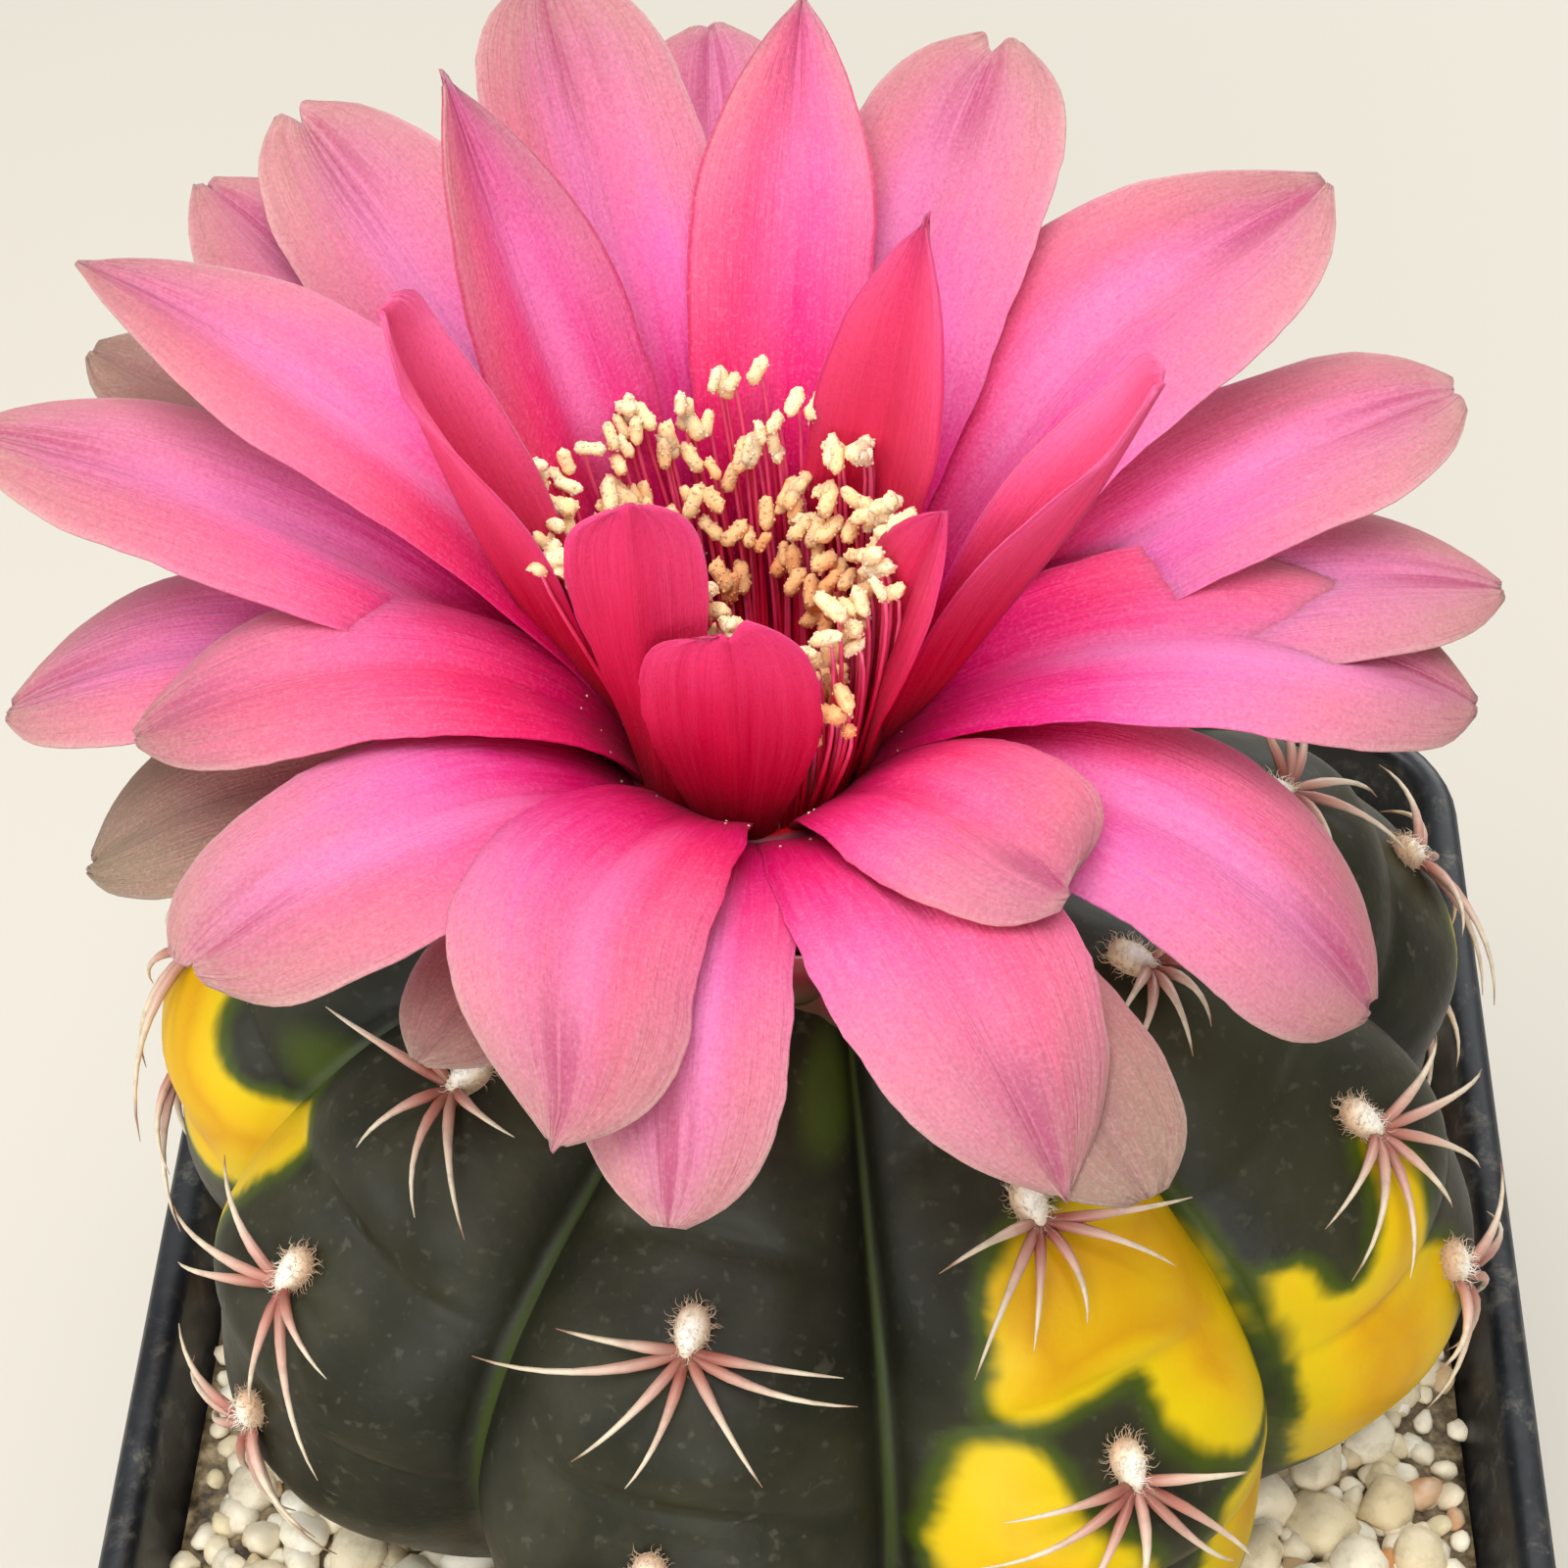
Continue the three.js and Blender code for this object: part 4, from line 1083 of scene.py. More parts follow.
def spine_finish():
    f = Finish("horny_spine", Specular_IOR_Level=0.5, Subsurface_Weight=0.1, Subsurface_Scale=0.0008)
    along = f.plus(f.number("along"), f.times(f.number("own"), 0.12))
    colour = f.ramp(along, (0.0, "#8A4638"), (0.14, "#AE7464"), (0.34, "#C8A390"), (0.6, "#D6C8AE"),
                    (0.88, "#CDBBA0"), (0.97, "#8A6A52"))
    fibre = f.noise(1300, 3, 0.6)
    colour = f.mix(f.between(fibre, 0.45, 0.7, 0.0, 0.35), colour, "#8F7A62")
    return f.done(colour, 0.42, f.bump(fibre, 0.03, 0.5))


def make_spines():
    draw = random.Random(SPINE_SEED)
    paths, tint = [], []
    for azimuth, angle in AREOLES:
        size = SPINE_LENGTH * min(max(angle / 45, 0.55), 1)
        mirror = -1 if draw.random() < 0.35 else 1
        for turn, share in SPINE_FAN:
            if draw.random() < 0.08:
                continue
            length = size * share * draw.uniform(0.88, 1.1)
            paths.append(spine_path(azimuth, angle, mirror * turn + draw.uniform(-7, 7), length, draw))
            tint.append(draw.uniform(-1, 1))
    return threads("spines", paths, spine_finish(), 7, tint)


dress(make_spines(), spine_finish(), "spine", *AREOLE_NODES)

# %% [markdown]
# The wool is short, curly hair, packed so tightly that it reads as a cushion. A small egg-shaped core
# stands in for its depth, and a growth rule plants hairs all over it. They are white in the middle and
# tan at the rim, where the wool is older.

# %% The wool
WOOL_SEED = 3
HAIR_TILT = 0.75  # radians
PAD_WIDTH = 1.45
PAD_LENGTH = 2.6
PAD_HEIGHT = 0.7


def make_cushions():
    """Egg-shaped cores, narrower down the rib. rim: 0 in the middle, 1 at the edge."""
    points, faces, rim, out_of = [], [], [], []
    rows, count = 9, 16
    for azimuth, angle in AREOLES:
        point, out, down, around = crest_frame(azimuth, angle)
        start = len(points)
        for i in range(rows):
            t = math.pi * (i + 0.5) / rows
            for j in range(count):
                a = 2 * math.pi * j / count
                x, y = math.sin(t) * math.cos(a), math.sin(t) * math.sin(a)
                egg = 1 - 0.28 * x
                place = down * x * PAD_LENGTH / 2 + around * y * egg * PAD_WIDTH / 2
                points.append(point + place - down * 0.15 + out * (math.cos(t) * PAD_HEIGHT + 0.25))
                rim.append(math.sin(t) if t < math.pi / 2 else 1.0)
                out_of.append(tuple(unit(place + out * math.cos(t) * 1.5 + out * 0.4)))
        faces += [tuple(k + start for k in reversed(face)) for face in ring_faces(rows, count)]
    return mesh_object("cushions", points, faces, {"rim": rim, "outwards": out_of})


def wool_finish():
    f = Finish("areole_wool", Roughness=0.85, Specular_IOR_Level=0.15, Sheen_Weight=0.3,
               Subsurface_Weight=0.15, Subsurface_Scale=0.0006)
    curl = f.noise(2200, 3, 0.6)
    colour = f.ramp(f.number("rim"), (0.3, "#F8F2E6"), (0.7, "#EADAC0"), (1.0, "#C6A07C"))
    colour = f.mix(f.between(curl, 0.45, 0.7, 0.0, 0.25), colour, "#B89A78")
    return f.done(colour, 0.85, f.bump(curl, 0.06, 0.7))


def curly_wool():
    hair_path = [((0.10 * math.sin(5 * s), 0.10 * math.cos(5 * s) - 0.1, 0.62 * s), 0.03 * (1.15 - s))
                 for s in np.linspace(0, 1, 5)]
    hair = threads("curly_hair", [hair_path], wool_finish(), 3)
    g = Growth("curly_wool", make_cushions(), wool_finish(), Hair=hair, Per_square_metre=2.1e7,
               Shortest=0.5, Longest=1.05)
    core = g.geometry
    spread = g.pass_on("GeometryNodeDistributePointsOnFaces", Density=g.given("Per square metre"))
    spread.inputs["Seed"].default_value = WOOL_SEED
    turn = g.add("FunctionNodeRotateRotation", rotation_space="LOCAL")
    g.feed(turn.inputs[0], g.facing("outwards"))
    lean = g.random_turn((-HAIR_TILT, -HAIR_TILT, -3.14), (HAIR_TILT, HAIR_TILT, 3.14))
    g.feed(turn.inputs[1], lean)
    size = g.random_size(g.given("Shortest"), g.given("Longest"))
    g.pass_on("GeometryNodeInstanceOnPoints", Instance=g.shape("Hair"), Rotation=turn.outputs[0],
              Scale=size)
    g.gather(core, g.geometry)
    piece = g.frozen("areole_wool")
    bpy.data.objects.remove(hair)
    return piece


dress(curly_wool(), wool_finish(), "spine", *AREOLE_NODES)

# %% [markdown]
# ## Blades
# A petal is a narrow, oblong blade. It is rooted in the mouth of the flower's tube, rises from it at
# one angle and ends at another, so its middle line is an arc. A scale of the tube is the same thing,
# only short and broad. One helper makes both. It walks along the arc, lays a row of points across at
# each step, and does so twice, for the upper and the lower side, so that the blade is closed and thin.
# A cloth simulation could droop the petals too, but a petal is held up by the water in it, not by its
# weight, so its shape is better written down than simulated.

# %% The outline of a blade
# How a blade ends: two powers of its outline, from a lens with a point to a tongue.
ENDS = {"point": (1.75, 0.86), "gothic": (2.1, 0.7), "round": (2.3, 0.58), "blunt": (3.4, 0.5)}


def half_width(share, widest, root_share, end):
    """Half the width at a place along a blade, as a share of its widest."""
    if share < widest:
        return root_share + (1 - root_share) * math.sin(math.pi / 2 * share / widest) ** 1.25
    first, second = ENDS[end]
    beyond = (share - widest) / (1 - widest)
    return max(1 - beyond ** first, 0.0) ** second


# %% The middle line of a blade


def blade_stations(start, azimuth, rises, length, rows, bend, twist):
    """Places along a blade's middle line, each with its ways along, aside and up."""
    level_side, step = direction(azimuth + 90), length / rows
    middle, stations = start, []
    for i in range(rows + 1):
        share = i / rows
        along = direction(azimuth + bend * share, rises[0] + (rises[1] - rises[0]) * share)
        side = unit(level_side - along * float(level_side @ along))
        up = np.cross(along, side)
        turn = math.radians(twist * share)
        cosine, sine = math.cos(turn), math.sin(turn)
        side, up = side * cosine + up * sine, up * cosine - side * sine
        stations.append((middle, along, side, up))
        middle = middle + along * step
    return stations


# %% How a blade's surface swells and folds


def blade_lift(share, across, half, folding, seed, cups, crease, wave, furrows):
    """How far a blade's surface stands over its middle line at a place, in millimetres."""
    edge = abs(across)
    lift = half * across * across * (cups[0] * (1 - share) + cups[1] * share)
    lift -= crease * bell(across / 0.17) * (1 - 0.6 * share) * smooth(share, 0.02, 0.3)
    lift += 1.1 * folding * half * edge
    ripple = math.sin(8.5 * share + 2.1 * seed + (1.7 if across > 0 else 0))
    lift += wave * edge ** 2.5 * ripple * smooth(share, 0.15, 0.7)
    lift += 0.16 * value_noise.noise(Vector((across * 1.2, share * 3.5, seed * 5.7)))
    lift += 0.07 * half * math.sin(math.pi * edge) * smooth(share, 0.1, 0.5)
    furrow = value_noise.noise(Vector((across * 7.5, share * 2.2, seed * 9.1)))
    return lift + furrows * furrow * smooth(share, 0.25, 0.9)


# %% The faces of a blade


def blade_faces(rows, columns):
    """Quads over the two sheets of a blade and round its edge."""
    count = columns + 1
    total = count * (rows + 1)
    faces = []
    for i in range(rows):
        for j in range(columns):
            a, b = i * count + j, (i + 1) * count + j
            faces.append((a, b, b + 1, a + 1))
            faces.append((total + a, total + a + 1, total + b + 1, total + b))
        a, b = i * count, (i + 1) * count
        faces.append((a, total + a, total + b, b))
        a, b = a + columns, b + columns
        faces.append((a, b, total + b, total + a))
    for j in range(columns):
        a, b = j, rows * count + j
        faces.append((a, a + 1, total + a + 1, total + a))
        faces.append((b, total + b, total + b + 1, b + 1))
    return faces


# %% A whole blade
BLADE_NUMBERS = ("along", "across", "warm", "pale", "under", "rim", "streak", "root_top")
STREAK_HALF = 0.34  # half the width of the painted sheen streak, as a share of the blade's half width
CROWDING = 0.97  # how much closer the points lie near the edge, where the blade turns over


def blade(name, start, azimuth, rises, length, width, seed, rows, columns, warm=0.5, pale=0.0,
          cups=(0.3, -0.1), end="round", skew=0.0, bend=0.0, twist=0.0, fold=0.0, crease=0.28,
          wave=0.12, notch=0.0, nib=0.0, slant=0.0, rim=0.0, shine=0.0, widest=0.64,
          root_share=0.42, thick=0.34, furrows=0.09):
    """A closed blade. cups: how its sides stand up at root and tip; the rest is in millimetres."""
    stations = blade_stations(start, azimuth, rises, length, rows, bend, twist)
    points, numbers = [], {key: [] for key in BLADE_NUMBERS}
    for level in (0.5, -0.5):
        for i, (middle, along, side, up) in enumerate(stations):
            share = i / rows
            half = half_width(min(share, 0.995), widest, root_share, end) * width / 2
            folding = fold * math.sin(math.pi * min(share * 1.1, 1))
            lean = skew * width / 2 * smooth(share, 0.5, 1.05) ** 1.3
            centre = shine + 0.12 * math.sin(5 * share + seed)
            for j in range(columns + 1):
                across = math.sin(math.pi / 2 * (2 * j / columns - 1) * CROWDING)
                across /= math.sin(math.pi / 2 * CROWDING)
                edge, flank = abs(across), 1 if across > 0 else -1
                rough = value_noise.noise(Vector((seed * 7.3, share * 9, flank * 3)))
                fine = value_noise.noise(Vector((seed * 3.1, share * 34, flank * 5)))
                reach = half * (1 - 0.45 * folding) * (1 + edge ** 4 * (0.045 * rough + 0.016 * fine))
                lift = blade_lift(share, across, half, folding, seed, cups, crease, wave, furrows)
                tip = smooth(share, 0.8, 1.0)
                longer = tip * (-notch * bell((across - 0.15) / 0.3) + slant * across + 0.25 * rough)
                longer += nib * bell(across / 0.4) * smooth(share, 0.95, 1.0)
                wedge = thick * (1 - 0.75 * edge ** 5) * (1.6 - 0.6 * smooth(share, 0, 0.4))
                wedge *= 1 - 0.45 * smooth(share, 0.7, 1.0)
                point = middle + side * (across * reach + lean) + up * (lift + level * wedge)
                points.append(point + along * longer)
                under = 0.5 - level
                streak = (across - centre) / STREAK_HALF
                row = (share, across, warm, pale, under, rim, streak, share + under)
                for key, value in zip(BLADE_NUMBERS, row):
                    numbers[key].append(value)
    return mesh_object(name, points, blade_faces(rows, columns), numbers)


# %% [markdown]
# ## The flower's tube
# Under the petals the flower stands on a short, thick tube. It is covered in broad, fleshy scales,
# dark red with a pale rim, in a spiral of the golden angle, which spreads them evenly. They are
# blades on a turned core that leans the way the flower does.

# %% The tube and its scales
THROAT = np.array([-4.0, -3.5, 106.5])
TUBE_LOW = 93.6
TUBE_TOP = 102.6
SCALES = 23
GOLDEN_TURN = 137.5  # degrees from each scale to the next one


def tube_middle(z):
    return TUBE_FOOT[:2] + (THROAT[:2] - TUBE_FOOT[:2]) * smooth(z, 92.5, 102.7)


def tube_radius(z):
    return 4.4 + 1.9 * min(max((z - 94) / 8.7, 0), 1) ** 1.6


def wall_rise(azimuth, z, step=3):
    """How steeply the tube's wall rises at an azimuth and a height, over the horizontal."""
    low, high = [float(tube_middle(h) @ direction(azimuth)[:2]) + tube_radius(h) for h in (z, z + step)]
    return math.degrees(math.atan2(step, high - low))


def scale_finish():
    f = Finish("fleshy_scale", Roughness=0.4, Specular_IOR_Level=0.45, Subsurface_Weight=0.12,
               Subsurface_Scale=0.001)
    along, edge = f.number("along"), f.math("ABSOLUTE", f.number("across"))
    cloud = f.noise(260, 4, 0.6)
    colour = f.ramp(along, (0.0, "#3A3A1C"), (0.3, "#5E2A26"), (0.7, "#8A2030"), (1.0, "#A8384A"))
    colour = f.mix(f.between(cloud, 0.4, 0.7, 0.0, 0.5), colour, "#5A4A2A")
    rim = f.math("MAXIMUM", f.between(edge, 0.86, 0.98), f.between(along, 0.93, 1.0))
    colour = f.mix(f.times(rim, 0.8), colour, "#E0A8A4")
    return f.done(colour, f.between(cloud, 0.3, 0.7, 0.34, 0.5), f.bump(cloud, 0.12, 0.5))


def make_tube():
    heights = np.linspace(TUBE_LOW, TUBE_TOP, 16)
    points, count = [], 48
    for z in heights:
        x, y = tube_middle(z)
        points += [tuple(np.array([x, y, z]) + direction(360 * j / count) * (tube_radius(z) - 0.35))
                   for j in range(count)]
    plain = {key: [0.2] * len(points) for key in ("along", "across")}
    pieces = [mesh_object("tube_core", points, ring_faces(len(heights), count), plain)]
    for k in range(SCALES):
        up, azimuth = k / (SCALES - 1), -78 + GOLDEN_TURN * k
        z = 94.0 + 6.6 * up
        radius = tube_radius(z) - 0.45
        start = np.append(tube_middle(z), z) + direction(azimuth) * radius
        wall = wall_rise(azimuth, z)
        pieces.append(blade(
            f"scale_{k}", start, azimuth, (wall - 9, wall - 5), 3.8 + 0.5 * up, 5.4 + 1.3 * up,
            k + 50, 12, 10, cups=(0.6, 0.45), end="round", crease=0.0, wave=0.05, widest=0.5,
            root_share=0.75, thick=0.45, furrows=0.0))
    return join("scaly_tube", pieces)


dress(make_tube(), scale_finish(), "tube", "flower_tube")

# %% [markdown]
# ## The petals
# Each petal is listed with its layer, its direction, its rise at the root and at the tip, its length
# and its width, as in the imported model, and then with what makes it itself: how its sides stand, how
# it ends, which way its tip leans, and how warm its pink is.

# %% The list of petals
# Radius of each layer's roots, and their height over the throat.
LAYERS = {"sepal": (6.5, -2.6), "outer": (6.1, -1.8), "middle": (5.7, -0.9), "upper": (5.3, 0.0),
          "inner": (5.0, -0.3)}
PETALS = [
    ("upper", 87, 68, 27, 26.6, 7.6, dict(cups=(.3, .16), end="point", warm=.8, rim=1, shine=.1)),
    ("outer", 96, 58, 17, 27.5, 8.4, dict(cups=(.3, .1), end="blunt", warm=0, wave=.3, rim=.4)),
    ("middle", 112, 64, 31, 28.6, 8.8, dict(cups=(.3, .08), end="blunt", warm=.35, wave=.3, shine=.3,
                                            widest=.7)),
    ("upper", 140, 69, 62, 26, 7.8, dict(cups=(.35, .25), end="point", warm=.45, rim=1, bend=-9,
                                         shine=-.1, widest=.6, nib=.6)),
    ("outer", 136, 56, 26, 28, 9.0, dict(cups=(.3, .05), end="blunt", warm=0, wave=.6, notch=.8)),
    ("middle", 145, 54, 9, 28, 10.0, dict(cups=(.3, -.05), end="round", warm=.1, wave=.5, skew=-.2)),
    ("sepal", 156, 44, 6, 27, 8.0, dict(cups=(.3, .1), end="round")),
    ("upper", 163, 66, 6, 29.2, 8.2, dict(cups=(.3, -.05), end="point", warm=.55, skew=-.2,
                                          shine=.15)),
    ("outer", 173.5, 58, 2, 29.5, 8.8, dict(cups=(.3, -.12), end="round", warm=.25, shine=.2)),
    ("middle", 182, 50, -38, 26.8, 9.4, dict(cups=(.25, -.16), end="round", warm=.25, slant=.3,
                                             shine=.1)),
    ("upper", 194, 66, -30, 22, 7.7, dict(cups=(.25, -.2), end="round", warm=1, skew=.1,
                                          shine=-.2)),
    ("sepal", 192, 42, -42, 22.6, 9.4, dict(cups=(.2, -.1), end="round", warm=.2)),
    ("middle", 222, 60, -22, 23.2, 9.8, dict(cups=(.25, -.28), end="blunt", warm=.35, notch=.25,
                                             shine=.05, widest=.6, skew=-.1)),
    ("sepal", 238, 35, 0, 16, 6.5, dict(cups=(.2, -.1), end="round", warm=.9)),
    ("upper", 249, 58, -20, 22.2, 9.8, dict(cups=(.25, -.3), end="gothic", warm=.7, skew=.75, nib=.4,
                                            shine=.25, widest=.68)),
    ("middle", 264, 54, -28, 22.4, 8.2, dict(cups=(.2, -.2), end="round", warm=.15, shine=.25,
                                             widest=.68, skew=.25)),
    ("middle", 297, 58, -36, 23.6, 9.8, dict(cups=(.25, -.28), end="gothic", nib=.4, warm=.85,
                                             shine=-.05, widest=.62)),
    ("sepal", 303, 44, -18, 22.8, 7.6, dict(cups=(.2, -.1), end="blunt", warm=.5, wave=.3)),
    ("upper", 313, 64, -6, 15, 8.8, dict(cups=(.2, -.16), end="blunt", warm=1, slant=-.4, wave=.3,
                                         shine=.1, rim=.3)),
    ("middle", 334, 56, -58, 25.2, 10.0, dict(cups=(.25, -.24), end="blunt", warm=.4, notch=.2,
                                              shine=.05)),
    ("upper", 358, 58, -38, 26.5, 10.0, dict(cups=(.25, -.14), end="round", warm=.55, shine=-.15)),
    ("middle", 6.5, 50, -18, 26.7, 9.0, dict(cups=(.3, -.12), end="round", warm=.15, shine=.1)),
    ("outer", 18.5, 52, 6, 27.3, 9.2, dict(cups=(.3, -.05), end="blunt", warm=.3, notch=.2)),
    ("middle", 40, 60, 20, 28, 11.6, dict(cups=(.3, .05), end="gothic", warm=.45, wave=.3, skew=-.5)),
    ("outer", 46, 54, 10, 23.5, 8.6, dict(cups=(.3, .05), end="round", warm=.2)),
    ("middle", 67.5, 64, 25, 27, 9.4, dict(cups=(.3, .06), end="blunt", warm=.1, wave=.3, notch=.7,
                                           shine=.3)),
    ("inner", 48, 74, 82, 21.5, 6.4, dict(cups=(.4, .25), end="point", warm=.75, rim=.8, widest=.58,
                                          nib=.6)),
    ("inner", 352, 60, 71, 23.9, 5.0, dict(cups=(.5, .3), end="blunt", warm=.95, fold=.7, rim=.5,
                                       widest=.88, root_share=.3)),
    ("inner", 178, 57, 82, 23.7, 5.2, dict(cups=(.5, .3), end="blunt", warm=1, fold=.7, rim=.5,
                                           widest=.88, root_share=.3)),
    ("inner", 227, 84, 89, 17.2, 5.3, dict(cups=(.25, .1), end="blunt", warm=.6, wave=.15, twist=50,
                                           crease=.12, widest=.76, nib=.3)),
    ("inner", 265, 80, 88, 12.8, 6.9, dict(cups=(.2, .1), end="blunt", warm=.5, wave=.15, notch=.5,
                                           slant=.8, crease=.08)),
    ("inner", 348, 84, 80, 15.2, 5.8, dict(cups=(.2, .15), end="point", warm=.5, skew=-.2, twist=45,
                                           widest=.58)),
]
PALENESS = {"sepal": 1.0, "inner": -1.0}
ROOT_SUNK = 1.1  # mm of each petal that lies inside the ring
PETAL_ROWS = 50
PETAL_COLUMNS = 26

# %% [markdown]
# A petal's colour runs from deep crimson in the throat over hot pink to a dusty, paler pink at its
# tip, with a painted lilac sheen in a soft streak and fine lengthwise veins. The crimson at the root is
# partly its own colour and partly painted shade. The numbers stored in the blades carry all of this.
# The underside is duller, with a brownish midrib, as the bud's outside was. Petals that stand up get
# a painted dark red rim, for the deeper red seen where one looks along their flesh.

# %% What the petals' finish reads


class PetalFinish(Finish):
    """The numbers and the patterns that every layer of a petal's colour reads."""

    def __init__(self):
        super().__init__("silky_petal", Specular_IOR_Level=0.1, Sheen_Weight=0.03, Sheen_Roughness=0.4,
                         Sheen_Tint=rgb("#FFB8D0"), Subsurface_Weight=0.3, Subsurface_Scale=0.002,
                         Subsurface_Radius=(1.0, 0.26, 0.45))
        self.along, self.across, self.warm = [self.number(key) for key in ("along", "across", "warm")]
        self.pale, self.under, self.rim = [self.number(key) for key in ("pale", "under", "rim")]
        self.beside = self.math("ABSOLUTE", self.across)
        own = self.plus(self.times(self.warm, 7.0), self.times(self.rim, 3.0))
        self.where = self.vector(self.across, self.along, own)
        self.veins = self.lengthwise(3, 0.6, (14, 1.6, 5))
        self.silk = self.lengthwise(4, 0.65, (46, 14, 5))
        self.crinkle = self.lengthwise(4, 0.7, (30, 7, 5))
        self.sand = self.noise(6200, 2, 0.5)
        self.loose = self.times(self.less(self.veins, 0.5), 0.24)
        shade = self.times(self.less(self.noise(150, 4, 0.6), 0.5), 0.2)
        fresh = self.less(1.0, self.times(self.rim, 0.24))
        self.reach = self.times(self.plus(self.along, self.plus(self.loose, shade)), fresh)

    def lengthwise(self, detail, roughness, scale):
        """A noise that is drawn out along the petal."""
        return self.noise(1.0, detail, roughness, where=self.stretched(scale, self.where))

    def over(self, low, high, to_low=0.0, to_high=1.0):
        """A range of the way along the petal."""
        return self.between(self.along, low, high, to_low, to_high)

    def out(self, low, high, to_low=0.0, to_high=1.0):
        """A range of the way from the petal's midrib to its edge."""
        return self.between(self.beside, low, high, to_low, to_high)


# %% The pinks of the long petals


def long_petal_colour(f):
    """Lilac pink and coral pink, mixed by how warm the petal is, and then what lies over them."""
    # The darkest stops at the root of both ramps are partly the flower's own crimson and partly painted
    # shade in the throat.
    lilac = f.ramp(f.reach, (0.0, "#800018"), (0.1, "#A60044"), (0.24, "#CA0066"), (0.38, "#DC2C86"),
                   (0.56, "#DE64A6"), (0.72, "#D07096"), (0.88, "#BE748A"), (1.0, "#B2807A"))
    coral = f.ramp(f.reach, (0.0, "#880014"), (0.1, "#AE0042"), (0.24, "#D2005C"), (0.4, "#EA2466"),
                   (0.58, "#E4507C"), (0.74, "#CC5C78"), (0.88, "#B06070"), (1.0, "#A87670"))
    flank = f.times(f.between(f.across, -0.9, 0.9, -0.48, 0.48), f.over(0.15, 0.5))
    colour = f.mix(f.plus(f.warm, flank, clamp=True), lilac, coral)
    # A painted lilac sheen: a soft pale band beside the midrib, weaker on warm petals.
    streak = f.less(1.0, f.between(f.math("ABSOLUTE", f.number("streak")), 0.0, 1.15))
    streak = f.times(streak, f.times(f.over(0.22, 0.5), f.over(0.66, 0.95, 1.0, 0.15)))
    streak = f.times(streak, f.between(f.warm, 0.5, 0.9, 1.0, 0.2))
    colour = f.mix(f.times(streak, 0.6), colour, "#DE80B6")
    margin = f.times(f.out(0.25, 0.95), f.over(0.3, 0.75))
    margin = f.times(margin, f.between(f.warm, 0.7, 1.0, 0.7, 0.3))
    colour = f.mix(margin, colour, f.mix(f.over(0.6, 0.95), "#D07088", "#BC827C"))
    bruise = f.times(f.over(0.74, 0.92), f.between(f.veins, 0.4, 0.55))
    bruise = f.times(f.out(0.0, 0.45, 1.0, 0.0), bruise)
    colour = f.mix(f.times(bruise, 0.75), colour, "#A23C66")
    border = f.math("MAXIMUM", f.out(0.9, 1.0), f.over(0.965, 1.0))
    return f.mix(f.times(f.times(border, f.over(0.6, 0.9)), 0.35), colour, "#CCA496")


# %% The crimson of the inner petals and the green-brown of the outer ones


def inner_petal_colour(f):
    """Crimson, with a pinker edge and top."""
    colour = f.ramp(f.reach, (0.0, "#8E000C"), (0.3, "#AA002A"), (0.66, "#C40040"), (1.0, "#D82A62"))
    colour = f.mix(f.out(0.0, 0.2, 0.35, 0.0), colour, "#B00026")
    pink = f.times(f.out(0.1, 0.9, 0.6, 1.0), f.over(0.3, 0.95))
    pink = f.times(pink, f.between(f.warm, 0.5, 0.95, 0.25, 1.0))
    return f.mix(f.plus(pink, f.loose, clamp=True), colour, "#FC6894")


def with_green(f, colour):
    """The same colour, and a dull green-brown where the petal is one of the outermost."""
    green = f.ramp(f.reach, (0.15, "#8C3844"), (0.42, "#925C58"), (0.8, "#80705A"), (1.0, "#7A785C"))
    share = f.times(f.between(f.pale, 0.0, 1.0), f.between(f.warm, 0.2, 0.6, 0.94, 0.72))
    return f.mix(share, colour, green)


# %% Finish of the petals


def petal_finish():
    f = PetalFinish()
    calm = f.between(f.pale, -1.0, 0.0)
    colour = with_green(f, f.mix(calm, inner_petal_colour(f), long_petal_colour(f)))
    back = f.mix(f.out(0.0, 0.5, 0.6, 0.12), colour, "#9A5450")
    outside = f.times(f.under, f.between(f.pale, -1.0, -0.2))
    colour = f.mix(f.times(outside, 0.85), colour, back)
    # Painted dark red rim on upright petals, for the deeper red seen where one looks along their flesh.
    line = f.times(f.out(0.93, 0.985), f.times(f.rim, f.over(0.2, 0.5)))
    colour = f.mix(f.times(line, 0.75), colour, "#B01444")
    # Painted glints: pale satin glints along the fibres and pale sparkle in the fine grain, on all but
    # the inner petals, more towards their tips.
    glint_share = f.times(calm, f.over(0.1, 0.5, 0.3, 1.0))
    colour = f.mix(f.times(f.between(f.silk, 0.4, 0.75, 0.0, 0.08), glint_share), colour, "#FFA8C8")
    colour = f.mix(f.times(f.between(f.sand, 0.5, 0.7, 0.0, 0.09), glint_share), colour, "#FFB8C8")
    # Painted shade: dark specks in the pits of the fine grain.
    colour = f.mix(f.between(f.sand, 0.3, 0.5, 0.18, 0.0), colour, "#A01E50")
    crinkle = f.times(f.crinkle, f.over(0.2, 0.9, 0.35, 1.0))
    normal = f.bump(f.sand, 0.06, 0.7, after=f.bump(f.silk, 0.06, 0.5))
    normal = f.bump(crinkle, 0.14, 0.6, after=normal)
    rough = f.between(f.sand, 0.3, 0.7, 0.42, 0.62)
    return f.done(colour, rough, f.bump(f.veins, 0.16, 0.6, after=normal))


# %% The petals, group by group


def make_petal(number):
    layer, azimuth, root_rise, tip_rise, length, width, own = PETALS[number]
    radius, lift = LAYERS[layer]
    start = THROAT + direction(azimuth) * radius + np.array([0, 0, lift])
    start = start - direction(azimuth, root_rise) * ROOT_SUNK
    return blade(f"petal_{number}", start, azimuth, (root_rise, tip_rise), length + ROOT_SUNK, width,
                 number, PETAL_ROWS, PETAL_COLUMNS, pale=PALENESS.get(layer, 0.0), **own)


